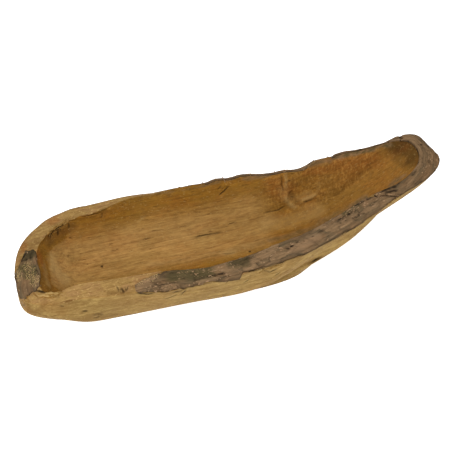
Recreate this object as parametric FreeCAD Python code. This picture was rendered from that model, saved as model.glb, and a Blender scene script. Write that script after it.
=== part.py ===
"""Live-edge dough bowl: one long root, hollowed by hand into a shallow trough.

The carved wood is a single piece.  On top of its brim sit the remains of the
root's grey weathered crust, four thin plates that follow the brim and end in
feathered edges.  X runs along the bowl from the blunt heel to the narrow tip,
Y runs across it from the near side to the far side, and Z is up.  The origin is
on the table, under the middle of the bowl.  All sizes are in millimetres.
"""
import FreeCAD, Part
import math
import os

# ---- driving dimensions ----------------------------------------------------

TROUGH_LENGTH = 694.0       # heel to tip, between the brim's inner edges
TROUGH_WIDTH = 180.0        # near side to far side, between the same edges
RIM_HEIGHT = 118.0          # from the table to the highest point of the brim
BRIM_WIDTH = 40.0           # of the brim at its widest
BRIM_FALL = 16.0            # from inner to outer edge, where the brim slopes most
FLOOR_THICKNESS = 21.0      # wood under the flat floor of the trough
WALL_FULLNESS = 0.72        # 0: straight wall from brim to foot, 1: follows the chine
COVE_FULLNESS = 0.62        # the same for the inside, between brim and floor

CRUST_THICKNESS = 4.0       # weathered crust left on the brim
CRUST_FEATHER = 1.2         # its thickness where a plate ends
CRUST_LIP = 1.5             # how far a plate overhangs the wall outside
CRUST_CROWN = 1.6           # rise of its rounded top over the flat brim
CRACK_WIDTH = 1.6           # gap where the crust has split at the tip

# The four tables give the shape, and are stretched to the sizes above.

# The brim, station by station round the bowl, from the middle of the heel along
# the near side to the tip, and back along the far side: x, y and z of the inner
# edge, the width of the brim, and its fall from the inner edge to the outer.
BRIM = [
    (-340, 4, 89, 38, 9),       # middle of the heel
    (-341, -24, 87, 40, 12),
    (-346, -48, 84, 28, 16),    # near corner of the heel
    (-331, -63, 79, 13, 11),
    (-302, -61, 83, 16, 14),
    (-262, -63, 86, 21, 15),
    (-203, -69, 87, 23, 15),
    (-150, -74, 88, 28, 16),
    (-89, -85, 88, 20, 15),
    (-38, -84, 88, 22, 15),
    (15, -74, 88, 26, 13),
    (60, -65, 89, 32, 12),
    (101, -57, 91, 30, 11),
    (150, -41, 94, 31, 11),
    (190, -27, 97, 30, 11),
    (232, -12, 100, 27, 10),
    (271, -3, 103, 19, 9),
    (305, 9, 106, 19, 9),
    (333, 29, 110, 28, 8),
    (347, 53, 113, 36, 7),      # the tip
    (348, 71, 115, 27, 5),
    (343, 85, 117, 27, 3),
    (329, 94, 118, 19, 5),      # far corner of the tip
    (300, 95, 118, 11, 13),
    (262, 90, 118, 13, 14),
    (228, 89, 118, 14, 14),
    (199, 87, 118, 14, 14),
    (166, 84, 117, 16, 14),
    (133, 76, 113, 18, 14),
    (105, 77, 113, 18, 14),
    (66, 81, 113, 17, 14),
    (29, 87, 114, 16, 14),
    (-3, 88, 113, 15, 14),
    (-38, 87, 112, 16, 14),
    (-78, 90, 110, 15, 12),
    (-120, 94, 108, 12, 8),
    (-162, 95, 104, 9, 2),
    (-202, 86, 101, 17, 0),
    (-245, 82, 97, 24, 0),
    (-277, 79, 94, 26, 0),
    (-303, 67, 92, 28, 1),
    (-323, 51, 91, 30, 4),
    (-335, 30, 91, 33, 7),
]

# The chine, the line that the outer wall leans towards between brim and foot.
CHINE = [
    (-374, 4, 40), (-380, -25, 32), (-394, -52, 25), (-369, -77, 34),
    (-325, -86, 14), (-280, -79, 10), (-190, -79, 7), (-40, -87, 5),
    (62, -85, 6), (128, -62, 28), (203, -57, 45), (270, -8, 63),
    (323, 10, 71), (376, 28, 65), (363, 75, 86), (342, 100, 84),
    (262, 104, 56), (166, 98, 38), (60, 94, 24), (-60, 98, 18),
    (-200, 96, 18), (-300, 78, 26), (-350, 42, 38),
]

# The cove, the line that the inner wall leans towards between brim and floor.
COVE = [
    (-326, 0, 46), (-326, -28, 46), (-318, -44, 42), (-285, -50, 33),
    (-200, -55, 30), (-60, -66, 30), (60, -56, 32), (150, -34, 42),
    (232, -2, 60), (300, 26, 74), (330, 55, 82), (322, 74, 78),
    (262, 68, 60), (166, 62, 42), (60, 60, 33), (-60, 66, 31),
    (-200, 68, 31), (-285, 60, 35), (-318, 28, 44),
]

# The flat foot that the bowl stands on, and the flat floor of the trough.
FOOT = [
    (-285, -5), (-297, -38), (-276, -55), (-180, -70), (-40, -73),
    (51, -71), (107, -48), (119, -7), (110, 30), (40, 52),
    (-100, 60), (-220, 58), (-268, 35),
]
FLOOR = [
    (-285, 0), (-280, -22), (-262, -34), (-180, -38), (-60, -44),
    (40, -38), (110, -16), (135, 10), (110, 28), (40, 36),
    (-60, 42), (-180, 42), (-255, 36), (-278, 18),
]

# The plates of crust, from one brim station to another.
LAST = len(BRIM)
PLATES = {
    "near_live_edge": (6, 15.5),
    "tip_live_edge": (15.5, 22),
    "far_live_edge": (22, 35),
    "heel_live_edge": (LAST - 1, LAST + 2),
}

# ---- closed curves ----------------------------------------------------------

Vector = FreeCAD.Vector
UP = Vector(0, 0, 1)


def span(column):
    """Distance between the lowest and the highest number of a table's column."""
    numbers = [row[column] for row in BRIM]
    return max(numbers) - min(numbers)


def highest(column):
    """Highest number of a column of the brim's table."""
    return max(row[column] for row in BRIM)


STRETCH_X = TROUGH_LENGTH / span(0)
STRETCH_Y = TROUGH_WIDTH / span(1)
STRETCH_Z = RIM_HEIGHT / highest(2)
STRETCH_WIDTH = BRIM_WIDTH / highest(3)
STRETCH_FALL = BRIM_FALL / highest(4)


def stretched(x, y, z=0.0):
    """A table's point at the bowl's real size."""
    return Vector(x * STRETCH_X, y * STRETCH_Y, z * STRETCH_Z)


def shares_of_length(points):
    """Share of a closed outline's length, in straight runs, at each point."""
    ends = points[1:] + points[:1]
    runs = [a.distanceToPoint(b) for a, b in zip(points, ends)]
    shares = [0.0]
    for run in runs:
        shares.append(shares[-1] + run / sum(runs))
    shares[-1] = 1.0
    return shares


def closed_curve(points, shares):
    """Smooth closed curve that passes through each point at its share."""
    before = shares[-1] - shares[-2]
    after = shares[1] - shares[0]
    arriving = (points[0] - points[-1]) / before
    leaving = (points[1] - points[0]) / after
    slope = (arriving * after + leaving * before) / (before + after)
    curve = Part.BSplineCurve()
    curve.interpolate(Points=points, Parameters=shares, PeriodicFlag=True,
                      Tangents=[slope] * len(points), Scale=False,
                      TangentFlags=[True] + [False] * (len(points) - 1))
    return curve


def ring(outline, shares, height=0.0):
    """Points of a closed outline at the given shares of its true length."""
    points = [stretched(*point) + UP * height for point in outline]
    curve = closed_curve(points, shares_of_length(points))
    edge = curve.toShape()
    found = []
    for share in shares[:-1]:
        at = edge.getParameterByLength(share * edge.Length)
        found.append(edge.valueAt(at))
    return found


def toward(start, goal, share):
    """Points moved from one ring towards another by a share of the way."""
    return [a + (b - a) * share for a, b in zip(start, goal)]


# ---- surfaces ---------------------------------------------------------------

def skin(rings, shares):
    """Surface through the first and last ring, drawn towards those between."""
    curves = [closed_curve(points, shares) for points in rings]
    first = curves[0]
    poles = [list(column) for column in zip(*(c.getPoles() for c in curves))]
    degree = len(rings) - 1
    surface = Part.BSplineSurface()
    surface.buildFromPolesMultsKnots(
        poles, first.getMultiplicities(), [degree + 1, degree + 1],
        first.getKnots(), [0.0, 1.0], True, False, first.Degree, degree)
    return surface


def flat(points, shares):
    """Flat face inside a closed curve."""
    return Part.Face(Part.Wire([closed_curve(points, shares).toShape()]))


def solid(faces):
    """One closed solid sewn from its faces, with its outside outwards."""
    shell = Part.makeShell(faces)
    shell.sewShape()
    body = Part.Solid(shell)
    if body.Volume < 0:
        body.reverse()
    return body


# ---- the lines of the bowl --------------------------------------------------

def outward(inner, shares):
    """Level directions that point away from the trough, square to the brim."""
    curve = closed_curve(inner, shares)
    directions = []
    for share in shares[:-1]:
        along = curve.tangent(share)[0]
        directions.append(Vector(along.y, -along.x, 0).normalize())
    return directions


def crust_depths():
    """Thickness of the crust at each station: none, feathered or full."""
    depths = [0.0] * LAST
    for first, last in PLATES.values():
        for station in range(math.ceil(first), math.floor(last) + 1):
            at_end = station in (first, last)
            depth = CRUST_FEATHER if at_end else CRUST_THICKNESS
            depths[station % LAST] = depth
    return depths


inner_top = [stretched(x, y, z) for x, y, z, width, fall in BRIM]
shares = shares_of_length(inner_top)
away = outward(inner_top, shares)
outer_top = [
    point + direction * width * STRETCH_WIDTH - UP * fall * STRETCH_FALL
    for point, direction, (x, y, z, width, fall) in zip(inner_top, away, BRIM)]

depths = crust_depths()
inner_bed = [p - UP * depth for p, depth in zip(inner_top, depths)]
outer_bed = [p - UP * depth for p, depth in zip(outer_top, depths)]

foot = ring(FOOT, shares)
floor = ring(FLOOR, shares, FLOOR_THICKNESS)
chine = ring(CHINE, shares)
cove = ring(COVE, shares)


# ---- the carved wood --------------------------------------------------------

def bowl_body():
    """Root wood: outer wall, brim, inner wall, flat floor and flat foot."""
    wall = [outer_bed, toward(outer_bed, chine, WALL_FULLNESS),
            toward(foot, chine, WALL_FULLNESS), foot]
    hollow = [inner_bed, toward(inner_bed, cove, COVE_FULLNESS),
              toward(floor, cove, COVE_FULLNESS), floor]
    return solid([
        skin(wall, shares).toShape(),
        skin([outer_bed, inner_bed], shares).toShape(),
        skin(hollow, shares).toShape(),
        flat(floor, shares),
        flat(foot, shares),
    ])


# ---- the weathered crust ----------------------------------------------------

def share_at(station):
    """Share of the brim's length at a station, whole or between two."""
    lap, place = divmod(station, LAST)
    low = int(place)
    return lap + shares[low] + (shares[low + 1] - shares[low]) * (place - low)


def crust_plate(first, last):
    """Plate of crust seated on the brim's bed between two stations."""
    gap = CRACK_WIDTH / 2 / closed_curve(inner_top, shares).length()
    start = share_at(first) + gap
    stop = share_at(last) - gap
    lip = [n * (CRUST_LIP if depth > CRUST_FEATHER else 0.0)
           for n, depth in zip(away, depths)]
    outer_edge = [p + overhang for p, overhang in zip(outer_top, lip)]
    crown = [p + UP * (2 * CRUST_CROWN if depth > CRUST_FEATHER else 0.0)
             for p, depth in zip(toward(outer_edge, inner_top, 0.5), depths)]
    bed = skin([outer_bed, inner_bed], shares).toShape(start, stop, 0, 1)
    top = skin([outer_edge, crown, inner_top], shares).toShape(start, stop, 0, 1)
    outside = skin([outer_bed, outer_edge], shares).toShape(start, stop, 0, 1)
    inside = skin([inner_bed, inner_top], shares).toShape(start, stop, 0, 1)
    faces = [bed, top, outside, inside]
    for end in (start, stop):
        faces.append(end_face(end, outer_edge, crown))
    return solid(faces)


def end_face(at, outer_edge, crown):
    """Broken end of a plate, ruled from its bed to its top."""
    rings = (outer_bed, inner_bed, outer_edge, crown, inner_top)
    low_out, low_in, out, middle, into = [
        closed_curve(points, shares).value(at % 1.0) for points in rings]
    under = Part.makeLine(low_out, low_in)
    arch = Part.BezierCurve()
    arch.setPoles([out, middle, into])
    return Part.makeRuledSurface(under, arch.toShape())


# ---- assembly ---------------------------------------------------------------

parts = {"bowl_body": bowl_body()}
for name, (first, last) in PLATES.items():
    parts[name] = crust_plate(first, last)

box = Part.makeCompound(list(parts.values())).optimalBoundingBox(True, False)
centre = Vector((box.XMin + box.XMax) / 2, (box.YMin + box.YMax) / 2, box.ZMin)

os.makedirs("parts", exist_ok=True)
for name, shape in parts.items():
    placed = shape.translated(-centre)
    placed.exportStep("parts/" + name + ".step")
    print(name, "solids", len(placed.Solids), "valid", placed.isValid(),
          "volume cm3", round(placed.Volume / 1000, 1))
print("length", round(box.XLength, 1), "width", round(box.YLength, 1),
      "height", round(box.ZLength, 1))
print("moved by", [round(-v, 2) for v in centre])
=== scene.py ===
# %% [markdown]
# A live-edge dough bowl.  The real one is a single piece of root, hollowed with
# gouges into a long shallow trough and rubbed smooth.  On top of its brim the
# weathered outside of the root was left on as a thin grey-brown crust.  The CAD
# model already holds the form at its real size.  This lesson dresses that form:
# it lays a finer skin over the same lines, works the tool marks, checks and
# chips into it, and gives the wood and the crust their finishes.

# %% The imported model
import math

import bpy
import numpy as np
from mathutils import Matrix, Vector
from mathutils.bvhtree import BVHTree


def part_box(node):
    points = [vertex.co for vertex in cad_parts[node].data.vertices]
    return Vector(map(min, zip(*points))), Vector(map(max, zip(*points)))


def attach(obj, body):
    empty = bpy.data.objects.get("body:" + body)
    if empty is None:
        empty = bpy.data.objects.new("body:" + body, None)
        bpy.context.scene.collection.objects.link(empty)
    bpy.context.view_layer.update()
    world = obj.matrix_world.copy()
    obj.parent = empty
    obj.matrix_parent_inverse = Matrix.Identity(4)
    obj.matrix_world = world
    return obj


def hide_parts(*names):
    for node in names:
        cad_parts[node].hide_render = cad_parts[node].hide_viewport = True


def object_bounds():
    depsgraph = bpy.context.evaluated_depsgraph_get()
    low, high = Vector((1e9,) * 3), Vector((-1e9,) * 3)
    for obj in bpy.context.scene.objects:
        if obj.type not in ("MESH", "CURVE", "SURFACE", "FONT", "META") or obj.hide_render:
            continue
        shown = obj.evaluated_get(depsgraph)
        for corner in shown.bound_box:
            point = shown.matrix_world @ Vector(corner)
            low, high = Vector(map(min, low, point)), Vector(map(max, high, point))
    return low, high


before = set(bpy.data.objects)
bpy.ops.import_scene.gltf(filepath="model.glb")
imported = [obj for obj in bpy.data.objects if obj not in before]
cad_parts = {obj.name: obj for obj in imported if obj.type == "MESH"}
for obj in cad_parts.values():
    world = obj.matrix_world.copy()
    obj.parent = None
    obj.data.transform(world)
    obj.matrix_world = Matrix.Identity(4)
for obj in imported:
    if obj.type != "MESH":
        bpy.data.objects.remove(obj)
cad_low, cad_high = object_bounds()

MM = 0.001                  # the tables below are in millimetres, the scene in metres
print("nodes of the model:", sorted(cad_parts))

# %% [markdown]
# The camera comes first, because later cells look through it: a check or a knot
# that the photograph shows is placed by its pixel, and a ray from the camera
# finds the spot on the wood behind that pixel.  The view was worked out from the
# outline of the bowl: 42 degrees above the table, a little round to the left.

# %% The camera
PHOTO_SIZE = 454            # pixels, each way
VIEW_ELEVATION = math.radians(42.0)
VIEW_AZIMUTH = math.radians(-17.25)
VIEW_DISTANCE = 2.2
VIEW_TARGET = Vector((-0.01338, 0.02339, 0.060))
SENSOR = 36.0
LENS = 102.9

toward_camera = Vector((
    math.sin(VIEW_AZIMUTH) * math.cos(VIEW_ELEVATION),
    -math.cos(VIEW_AZIMUTH) * math.cos(VIEW_ELEVATION),
    math.sin(VIEW_ELEVATION),
))
camera = bpy.data.objects.new("camera", bpy.data.cameras.new("camera"))
camera.data.sensor_width = SENSOR
camera.data.lens = LENS
camera.location = VIEW_TARGET + toward_camera * VIEW_DISTANCE
camera.rotation_euler = (-toward_camera).to_track_quat("-Z", "Y").to_euler()
bpy.context.scene.collection.objects.link(camera)
bpy.context.scene.camera = camera
print("camera at", [round(c, 3) for c in camera.location])

# %% [markdown]
# A boatbuilder would draw this bowl as a table of offsets: closed curves that run
# round it, each given by a few points.  Between the curves the wood is a fair
# skin.  The solid was built from such a table, so repeating it here lets every
# new surface follow the solid instead of being fitted to it.

# %% The table of offsets
TROUGH_FLOOR = 21.0         # height of the flat floor
WALL_FULLNESS = 0.72        # 0: straight wall from brim to foot, 1: follows the chine
COVE_FULLNESS = 0.62        # the same for the inside, between brim and floor

# the brim from the middle of the heel along the near side to the tip, and back:
# x, y and z of its inner edge, its width, and its fall to the outer edge
BRIM = [
    (-340, 4, 89, 38, 9), (-341, -24, 87, 40, 12), (-346, -48, 84, 28, 16),
    (-331, -63, 79, 13, 11), (-302, -61, 83, 16, 14), (-262, -63, 86, 21, 15),
    (-203, -69, 87, 23, 15), (-150, -74, 88, 28, 16), (-89, -85, 88, 20, 15),
    (-38, -84, 88, 22, 15), (15, -74, 88, 26, 13), (60, -65, 89, 32, 12),
    (101, -57, 91, 30, 11), (150, -41, 94, 31, 11), (190, -27, 97, 30, 11),
    (232, -12, 100, 27, 10), (271, -3, 103, 19, 9), (305, 9, 106, 19, 9),
    (333, 29, 110, 28, 8), (347, 53, 113, 36, 7), (348, 71, 115, 27, 5),
    (343, 85, 117, 27, 3), (329, 94, 118, 19, 5), (300, 95, 118, 11, 13),
    (262, 90, 118, 13, 14), (228, 89, 118, 14, 14), (199, 87, 118, 14, 14),
    (166, 84, 117, 16, 14), (133, 76, 113, 18, 14), (105, 77, 113, 18, 14),
    (66, 81, 113, 17, 14), (29, 87, 114, 16, 14), (-3, 88, 113, 15, 14),
    (-38, 87, 112, 16, 14), (-78, 90, 110, 15, 12), (-120, 94, 108, 12, 8),
    (-162, 95, 104, 9, 2), (-202, 86, 101, 17, 0), (-245, 82, 97, 24, 0),
    (-277, 79, 94, 26, 0), (-303, 67, 92, 28, 1), (-323, 51, 91, 30, 4),
    (-335, 30, 91, 33, 7),
]
# the fullest line of the outside, and the line where it meets the table
CHINE = [
    (-374, 4, 40), (-380, -25, 32), (-394, -52, 25), (-369, -77, 34),
    (-325, -86, 14), (-280, -79, 10), (-190, -79, 7), (-40, -87, 5),
    (62, -85, 6), (128, -62, 28), (203, -57, 45), (270, -8, 63),
    (323, 10, 71), (376, 28, 65), (363, 75, 86), (342, 100, 84),
    (262, 104, 56), (166, 98, 38), (60, 94, 24), (-60, 98, 18),
    (-200, 96, 18), (-300, 78, 26), (-350, 42, 38),
]
FOOT = [
    (-285, -5, 0), (-297, -38, 0), (-276, -55, 0), (-180, -70, 0),
    (-40, -73, 0), (51, -71, 0), (107, -48, 0), (119, -7, 0),
    (110, 30, 0), (40, 52, 0), (-100, 60, 0), (-220, 58, 0),
    (-268, 35, 0),
]
# the hollow's cove, and the edge of its flat floor
COVE = [
    (-326, 0, 46), (-326, -28, 46), (-318, -44, 42), (-285, -50, 33),
    (-200, -55, 30), (-60, -66, 30), (60, -56, 32), (150, -34, 42),
    (232, -2, 60), (300, 26, 74), (330, 55, 82), (322, 74, 78), (262, 68, 60),
    (166, 62, 42), (60, 60, 33), (-60, 66, 31), (-200, 68, 31), (-285, 60, 35),
    (-318, 28, 44),
]
FLOOR = [
    (-285, 0, 21), (-280, -22, 21), (-262, -34, 21), (-180, -38, 21),
    (-60, -44, 21), (40, -38, 21), (110, -16, 21), (135, 10, 21), (110, 28, 21),
    (40, 36, 21), (-60, 42, 21), (-180, 42, 21), (-255, 36, 21), (-278, 18, 21),
]
print("stations round the brim:", len(BRIM))

# %% [markdown]
# Between its points each curve is a closed cubic spline: it passes through every
# point with the same slope and bend on both sides.  Solving one small set of
# equations gives those slopes.  Blender's own curves could do it too, but plain
# arrays can then be evaluated anywhere, thousands of points at a time.

# %% Closed splines
def chord_shares(points):
    """How far round a closed curve each point is, from 0 up to 1."""
    steps = np.linalg.norm(np.roll(points, -1, axis=0) - points, axis=1)
    return np.concatenate([[0.0], np.cumsum(steps)[:-1]]) / steps.sum()


def closed_spline(points, shares, places):
    """Points of the closed cubic spline through `points`, at `places` round it."""
    count = len(points)
    gaps = np.diff(np.append(shares, 1.0))
    matrix = np.zeros((count, count))
    right = np.zeros_like(points)
    for i in range(count):
        before, after = gaps[i - 1], gaps[i]
        matrix[i, i - 1] += after
        matrix[i, i] += 2 * (before + after)
        matrix[i, (i + 1) % count] += before
        rise = points[(i + 1) % count] - points[i]
        run = points[i] - points[i - 1]
        right[i] = 3 * (after * run / before + before * rise / after)
    slopes = np.linalg.solve(matrix, right)
    places = np.asarray(places, float) % 1.0
    k = np.clip(np.searchsorted(shares, places, side="right") - 1, 0, count - 1)
    nxt = (k + 1) % count
    gap = gaps[k][:, None]
    s = (places - shares[k])[:, None] / gap
    start = (2 * s**3 - 3 * s**2 + 1) * points[k] + (s**3 - 2 * s**2 + s) * gap * slopes[k]
    end = (3 * s**2 - 2 * s**3) * points[nxt] + (s**3 - s**2) * gap * slopes[nxt]
    return start + end


def at_lengths(points, shares):
    """The closed spline through `points`, at `shares` of its own length."""
    fine = np.linspace(0, 1, 4001)
    line = closed_spline(points, chord_shares(points), fine)
    walked = np.concatenate([[0], np.cumsum(np.linalg.norm(np.diff(line, axis=0), axis=1))])
    return closed_spline(points, chord_shares(points), np.interp(shares, walked / walked[-1], fine))


brim_table = np.array(BRIM, float)
brim_inner = brim_table[:, :3]
STATIONS = chord_shares(brim_inner)
nudge = 1e-4
along = (closed_spline(brim_inner, STATIONS, STATIONS + nudge)
         - closed_spline(brim_inner, STATIONS, STATIONS - nudge))
outward = np.stack([along[:, 1], -along[:, 0], np.zeros(len(along))], axis=1)
outward /= np.linalg.norm(outward, axis=1)[:, None]
brim_outer = brim_inner + outward * brim_table[:, 3:4]
brim_outer[:, 2] -= brim_table[:, 4]
print("brim length, mm:", round(float(np.linalg.norm(np.roll(brim_inner, -1, 0) - brim_inner, axis=1).sum())))

# %% [markdown]
# Round the bowl the skin has a fixed number of columns.  Up and down it has rows:
# over the foot, up the outside, over the brim, down the inside and over the
# floor.  A grid like this keeps the two edges of the brim crisp, and every point
# knows which part of the bowl it is on, which the finishes use later.

# %% Columns and rows
COLUMNS = 816
OUTSIDE_ROWS = 30
BRIM_ROWS = 15
INSIDE_ROWS = 54
FLOOR_ROWS = 13
FOOT_ROWS = 4

around = np.arange(COLUMNS) / COLUMNS


def ring(points):
    """One closed curve of the table, at every column."""
    return closed_spline(at_lengths(np.array(points, float), STATIONS), STATIONS, around)


inner_edge = closed_spline(brim_inner, STATIONS, around)
outer_edge = closed_spline(brim_outer, STATIONS, around)
chine, foot, cove, floor_edge = ring(CHINE), ring(FOOT), ring(COVE), ring(FLOOR)
body_low, body_high = (np.array(corner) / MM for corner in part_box("bowl_body"))


def bezier(a, b, c, d, t):
    """A cubic between a and d, pulled towards b and c."""
    t = np.asarray(t)[:, None, None]
    return (1 - t)**3 * a + 3 * t * (1 - t)**2 * b + 3 * t * t * (1 - t) * c + t**3 * d


def eased(count, ends=1.0):
    """`count` steps from 0 to 1, closer together near both ends."""
    t = np.linspace(0, 1, count)
    return t + ends * (0.5 - 0.5 * np.cos(math.pi * t) - t) * 0.8


def toward_spine(edge, shares, tuck):
    """Rows from a flat ring in towards the line down its middle."""
    order = np.argsort(edge[:, 0])
    low_x, high_x = edge[:, 0].min() + tuck, edge[:, 0].max() - tuck
    near = edge[:, 1] < np.interp(edge[:, 0], [low_x, high_x], [edge[edge[:, 0].argmin(), 1],
                                                                edge[edge[:, 0].argmax(), 1]])
    x = np.linspace(low_x, high_x, 60)

    def side(mask):
        picked = order[mask[order]]
        return np.interp(x, edge[picked, 0], edge[picked, 1])

    middle = (side(near) + side(~near)) / 2
    spine = edge.copy()
    spine[:, 0] = np.clip(edge[:, 0], low_x, high_x)
    spine[:, 1] = np.interp(spine[:, 0], x, middle)
    return edge + (spine - edge) * np.asarray(shares)[:, None, None]


def skin_rows(inner, outer):
    """The whole skin from the middle of the foot to the middle of the floor."""
    under = toward_spine(foot, np.linspace(0.96, 0.12, FOOT_ROWS), 40.0)
    up = eased(OUTSIDE_ROWS)
    full = outer + (chine - outer) * WALL_FULLNESS
    low = foot + (chine - foot) * WALL_FULLNESS
    wall = bezier(foot, low, full, outer, up)
    flat = eased(BRIM_ROWS)[1:-1, None, None]
    brim = outer + (inner - outer) * flat
    down = eased(INSIDE_ROWS, 0.6)
    steep = inner + (cove - inner) * COVE_FULLNESS
    shallow = floor_edge + (cove - floor_edge) * COVE_FULLNESS
    hollow = bezier(inner, steep, shallow, floor_edge, down)
    ground = toward_spine(floor_edge, np.linspace(0.07, 0.97, FLOOR_ROWS), 30.0)
    return np.concatenate([under, wall, brim, hollow, ground])


FIRST_WALL = FOOT_ROWS
FIRST_BRIM = FIRST_WALL + OUTSIDE_ROWS - 1      # the outer edge
LAST_BRIM = FIRST_BRIM + BRIM_ROWS - 1          # the inner edge
FIRST_GROUND = LAST_BRIM + INSIDE_ROWS
bare = skin_rows(inner_edge, outer_edge)
ROWS = len(bare)
table_shift = (body_low + body_high) / 2 - (bare.reshape(-1, 3).min(0) + bare.reshape(-1, 3).max(0)) / 2
table_shift[2] = 0.0
bare += table_shift
print("rows:", ROWS, "columns:", COLUMNS, "shift of the table, mm:", table_shift.round(2))

# %% [markdown]
# The crust is not as neat as the solid plates that stand for it.  Each plate runs
# between two stations of the brim, thins out over some length at its ends, and
# has a ragged inner and outer border.  Borders are given as shares of the brim's
# width, 0 at the inner edge and 1 at the outer, at shares of the plate's length.

# %% The plates of crust
CRUST_THICKNESS = 4.0
PLATES = {
    # stations, taper at each end in mm, which ends share the slanting split, borders
    "near_live_edge": dict(
        stations=(6, 15.5), taper=(16, 0), slant=(0, 1),
        inner=[(0, 0.55), (0.05, 0.26), (0.115, -0.02), (0.93, -0.02), (1, 0.16)],
        outer=[(0, 1.0), (0.27, 0.98), (0.33, 1.07), (0.362, 1.10), (0.38, 0.84), (0.44, 0.97), (1, 1.0)],
    ),
    "tip_live_edge": dict(
        stations=(15.5, 22), taper=(0, 0), slant=(1, 0),
        inner=[(0, -0.02), (1, -0.02)],
        outer=[(0, 1.0), (1, 1.0)],
    ),
    "far_live_edge": dict(
        stations=(22, 35), taper=(0, 60), slant=(0, 0),
        inner=[(0, -0.02), (0.295, -0.02), (0.31, 0.45), (0.36, 0.4), (0.4, 0.0), (0.8, 0.0), (1, 0.2)],
        outer=[(0, 1.0), (1, 1.0)],
    ),
    "heel_live_edge": dict(
        stations=(42, 45), taper=(8, 5), slant=(0, 0),
        inner=[(0, 0.06), (0.12, -0.02), (1, -0.02)],
        outer=[(0, 0.62), (0.3, 0.84), (0.42, 1.0), (1, 1.03)],
    ),
}
brim_walk = float(np.linalg.norm(np.diff(closed_spline(brim_inner, STATIONS, np.linspace(0, 1, 2001)), axis=0),
                                 axis=1).sum())


def share_at(station):
    """How far round the brim a station is; past the last one it goes on over 1."""
    return float(np.interp(station, np.arange(2 * len(BRIM)),
                           np.concatenate([STATIONS, STATIONS + 1])))


def smooth(x):
    """0 below 0, 1 above 1, and an easy step between them."""
    x = np.clip(x, 0.0, 1.0)
    return x * x * (3 - 2 * x)


def dice(i, j, k, seed):
    """A repeatable throw from -1 to 1 for each cell of a lattice."""
    n = (i * 73856093 ^ j * 19349663 ^ k * 83492791) + seed * 668265263
    n &= 0xFFFFFFFF
    n = ((n ^ (n >> 15)) * 2246822519) & 0xFFFFFFFF
    n = ((n ^ (n >> 13)) * 3266489917) & 0xFFFFFFFF
    return ((n ^ (n >> 16)) & 0xFFFF) / 32767.5 - 1.0


def lattice_noise(points, size, seed=0):
    """Smooth noise from -1 to 1, in lumps about `size` across (one size, or one per axis)."""
    p = np.asarray(points, float) / np.asarray(size, float)
    cell = np.floor(p).astype(np.int64)
    f = p - cell
    f = f**3 * (f * (f * 6 - 15) + 10)

    total = 0.0
    for i in (0, 1):
        for j in (0, 1):
            for k in (0, 1):
                weight = (np.where(i, f[..., 0], 1 - f[..., 0]) * np.where(j, f[..., 1], 1 - f[..., 1])
                          * np.where(k, f[..., 2], 1 - f[..., 2]))
                total = total + weight * dice(cell[..., 0] + i, cell[..., 1] + j, cell[..., 2] + k, seed)
    return total


def rough(points, size, seed=0, octaves=3):
    """Lattice noise with finer and fainter copies added."""
    size = np.asarray(size, float)
    return sum(lattice_noise(points, size / 2**o, seed + 31 * o) / 2**o for o in range(octaves)) / 1.6


def chipped(places, size, seed):
    """Splits a surface into chips: a throw for each chip, and how near its border is, 0 to 1."""
    p = places[..., :2] / np.array(size)
    cell = np.floor(p).astype(np.int64)
    first = np.full(p.shape[:-1], 9.0)
    second = first.copy()
    throw = np.zeros(p.shape[:-1])
    for i in (-1, 0, 1):
        for j in (-1, 0, 1):
            a, b = cell[..., 0] + i, cell[..., 1] + j
            away = np.hypot(a + 0.5 + 0.42 * dice(a, b, 1, seed) - p[..., 0],
                            b + 0.5 + 0.42 * dice(a, b, 2, seed) - p[..., 1])
            closer = away < first
            second = np.where(closer, first, np.minimum(second, away))
            throw = np.where(closer, dice(a, b, 3, seed), throw)
            first = np.where(closer, away, first)
    return throw, 1 - smooth((second - first) / 0.28)


def ragged(shares, size, seed):
    """Noise along the brim alone, for a border that wanders."""
    line = np.stack([np.asarray(shares) * brim_walk, np.full(np.shape(shares), seed * 11.3),
                     np.zeros(np.shape(shares))], axis=-1)
    return rough(line, size, seed)


class Plate:
    """Where one plate of crust lies on the brim."""

    def __init__(self, name, stations, taper, slant, inner, outer):
        self.name, self.taper, self.slant, self.inner, self.outer = name, taper, slant, inner, outer
        self.start = share_at(stations[0])
        self.span = share_at(stations[1]) - self.start
        self.length = self.span * brim_walk
        self.seed = len(name)

    def place(self, shares):
        """Shares of the brim as shares of this plate; over 1 is off the plate."""
        return ((shares - self.start) % 1.0) / self.span

    def borders(self, t):
        """The ragged inner and outer border at shares `t` of the plate."""
        shares = self.start + t * self.span
        wander = 0.05 * ragged(shares, 26, self.seed) + 0.03 * ragged(shares, 7, self.seed + 1)
        inner = np.interp(t, *zip(*self.inner))
        inner = inner + np.where(inner > 0.005, wander * 1.6, 0)
        outer = np.interp(t, *zip(*self.outer)) + 0.5 * wander
        return inner, outer

    def depth(self, t):
        """Thickness along the plate, in mm."""
        thin = np.ones(np.shape(t))
        for length, run in zip(self.taper, (t, 1 - t)):
            if length:
                thin = thin * smooth(run * self.length / length)
        return np.where((t >= 0) & (t <= 1), CRUST_THICKNESS * thin, 0.0)

    def cover(self, shares, across):
        """How deep the brim is cut for this plate, in mm, over a grid of places."""
        t = self.place(shares)
        inner, outer = self.borders(np.clip(t, 0, 1))
        inside = smooth((across - inner) / 0.07 + 0.3) * smooth((outer - across) / 0.07 + 0.6)
        inside = np.where(inner <= 0.005, smooth((outer - across) / 0.07 + 0.6), inside)
        return np.where(t <= 1, self.depth(t) * inside, 0.0)


plates = [Plate(name, **values) for name, values in PLATES.items()]
for plate in plates:
    print(plate.name, "is", round(plate.length), "mm long")

# %% [markdown]
# The hidden detail of a hand-carved bowl is that nothing on it is quite straight.
# The grid is first given the beds that the crust lies in, and then relief along
# its own outward direction.  Wood works along the grain, so the relief is read in
# coordinates that follow the root: the bend of its middle line is taken out, and
# lumps and scoops are longer along it than across.

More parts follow.
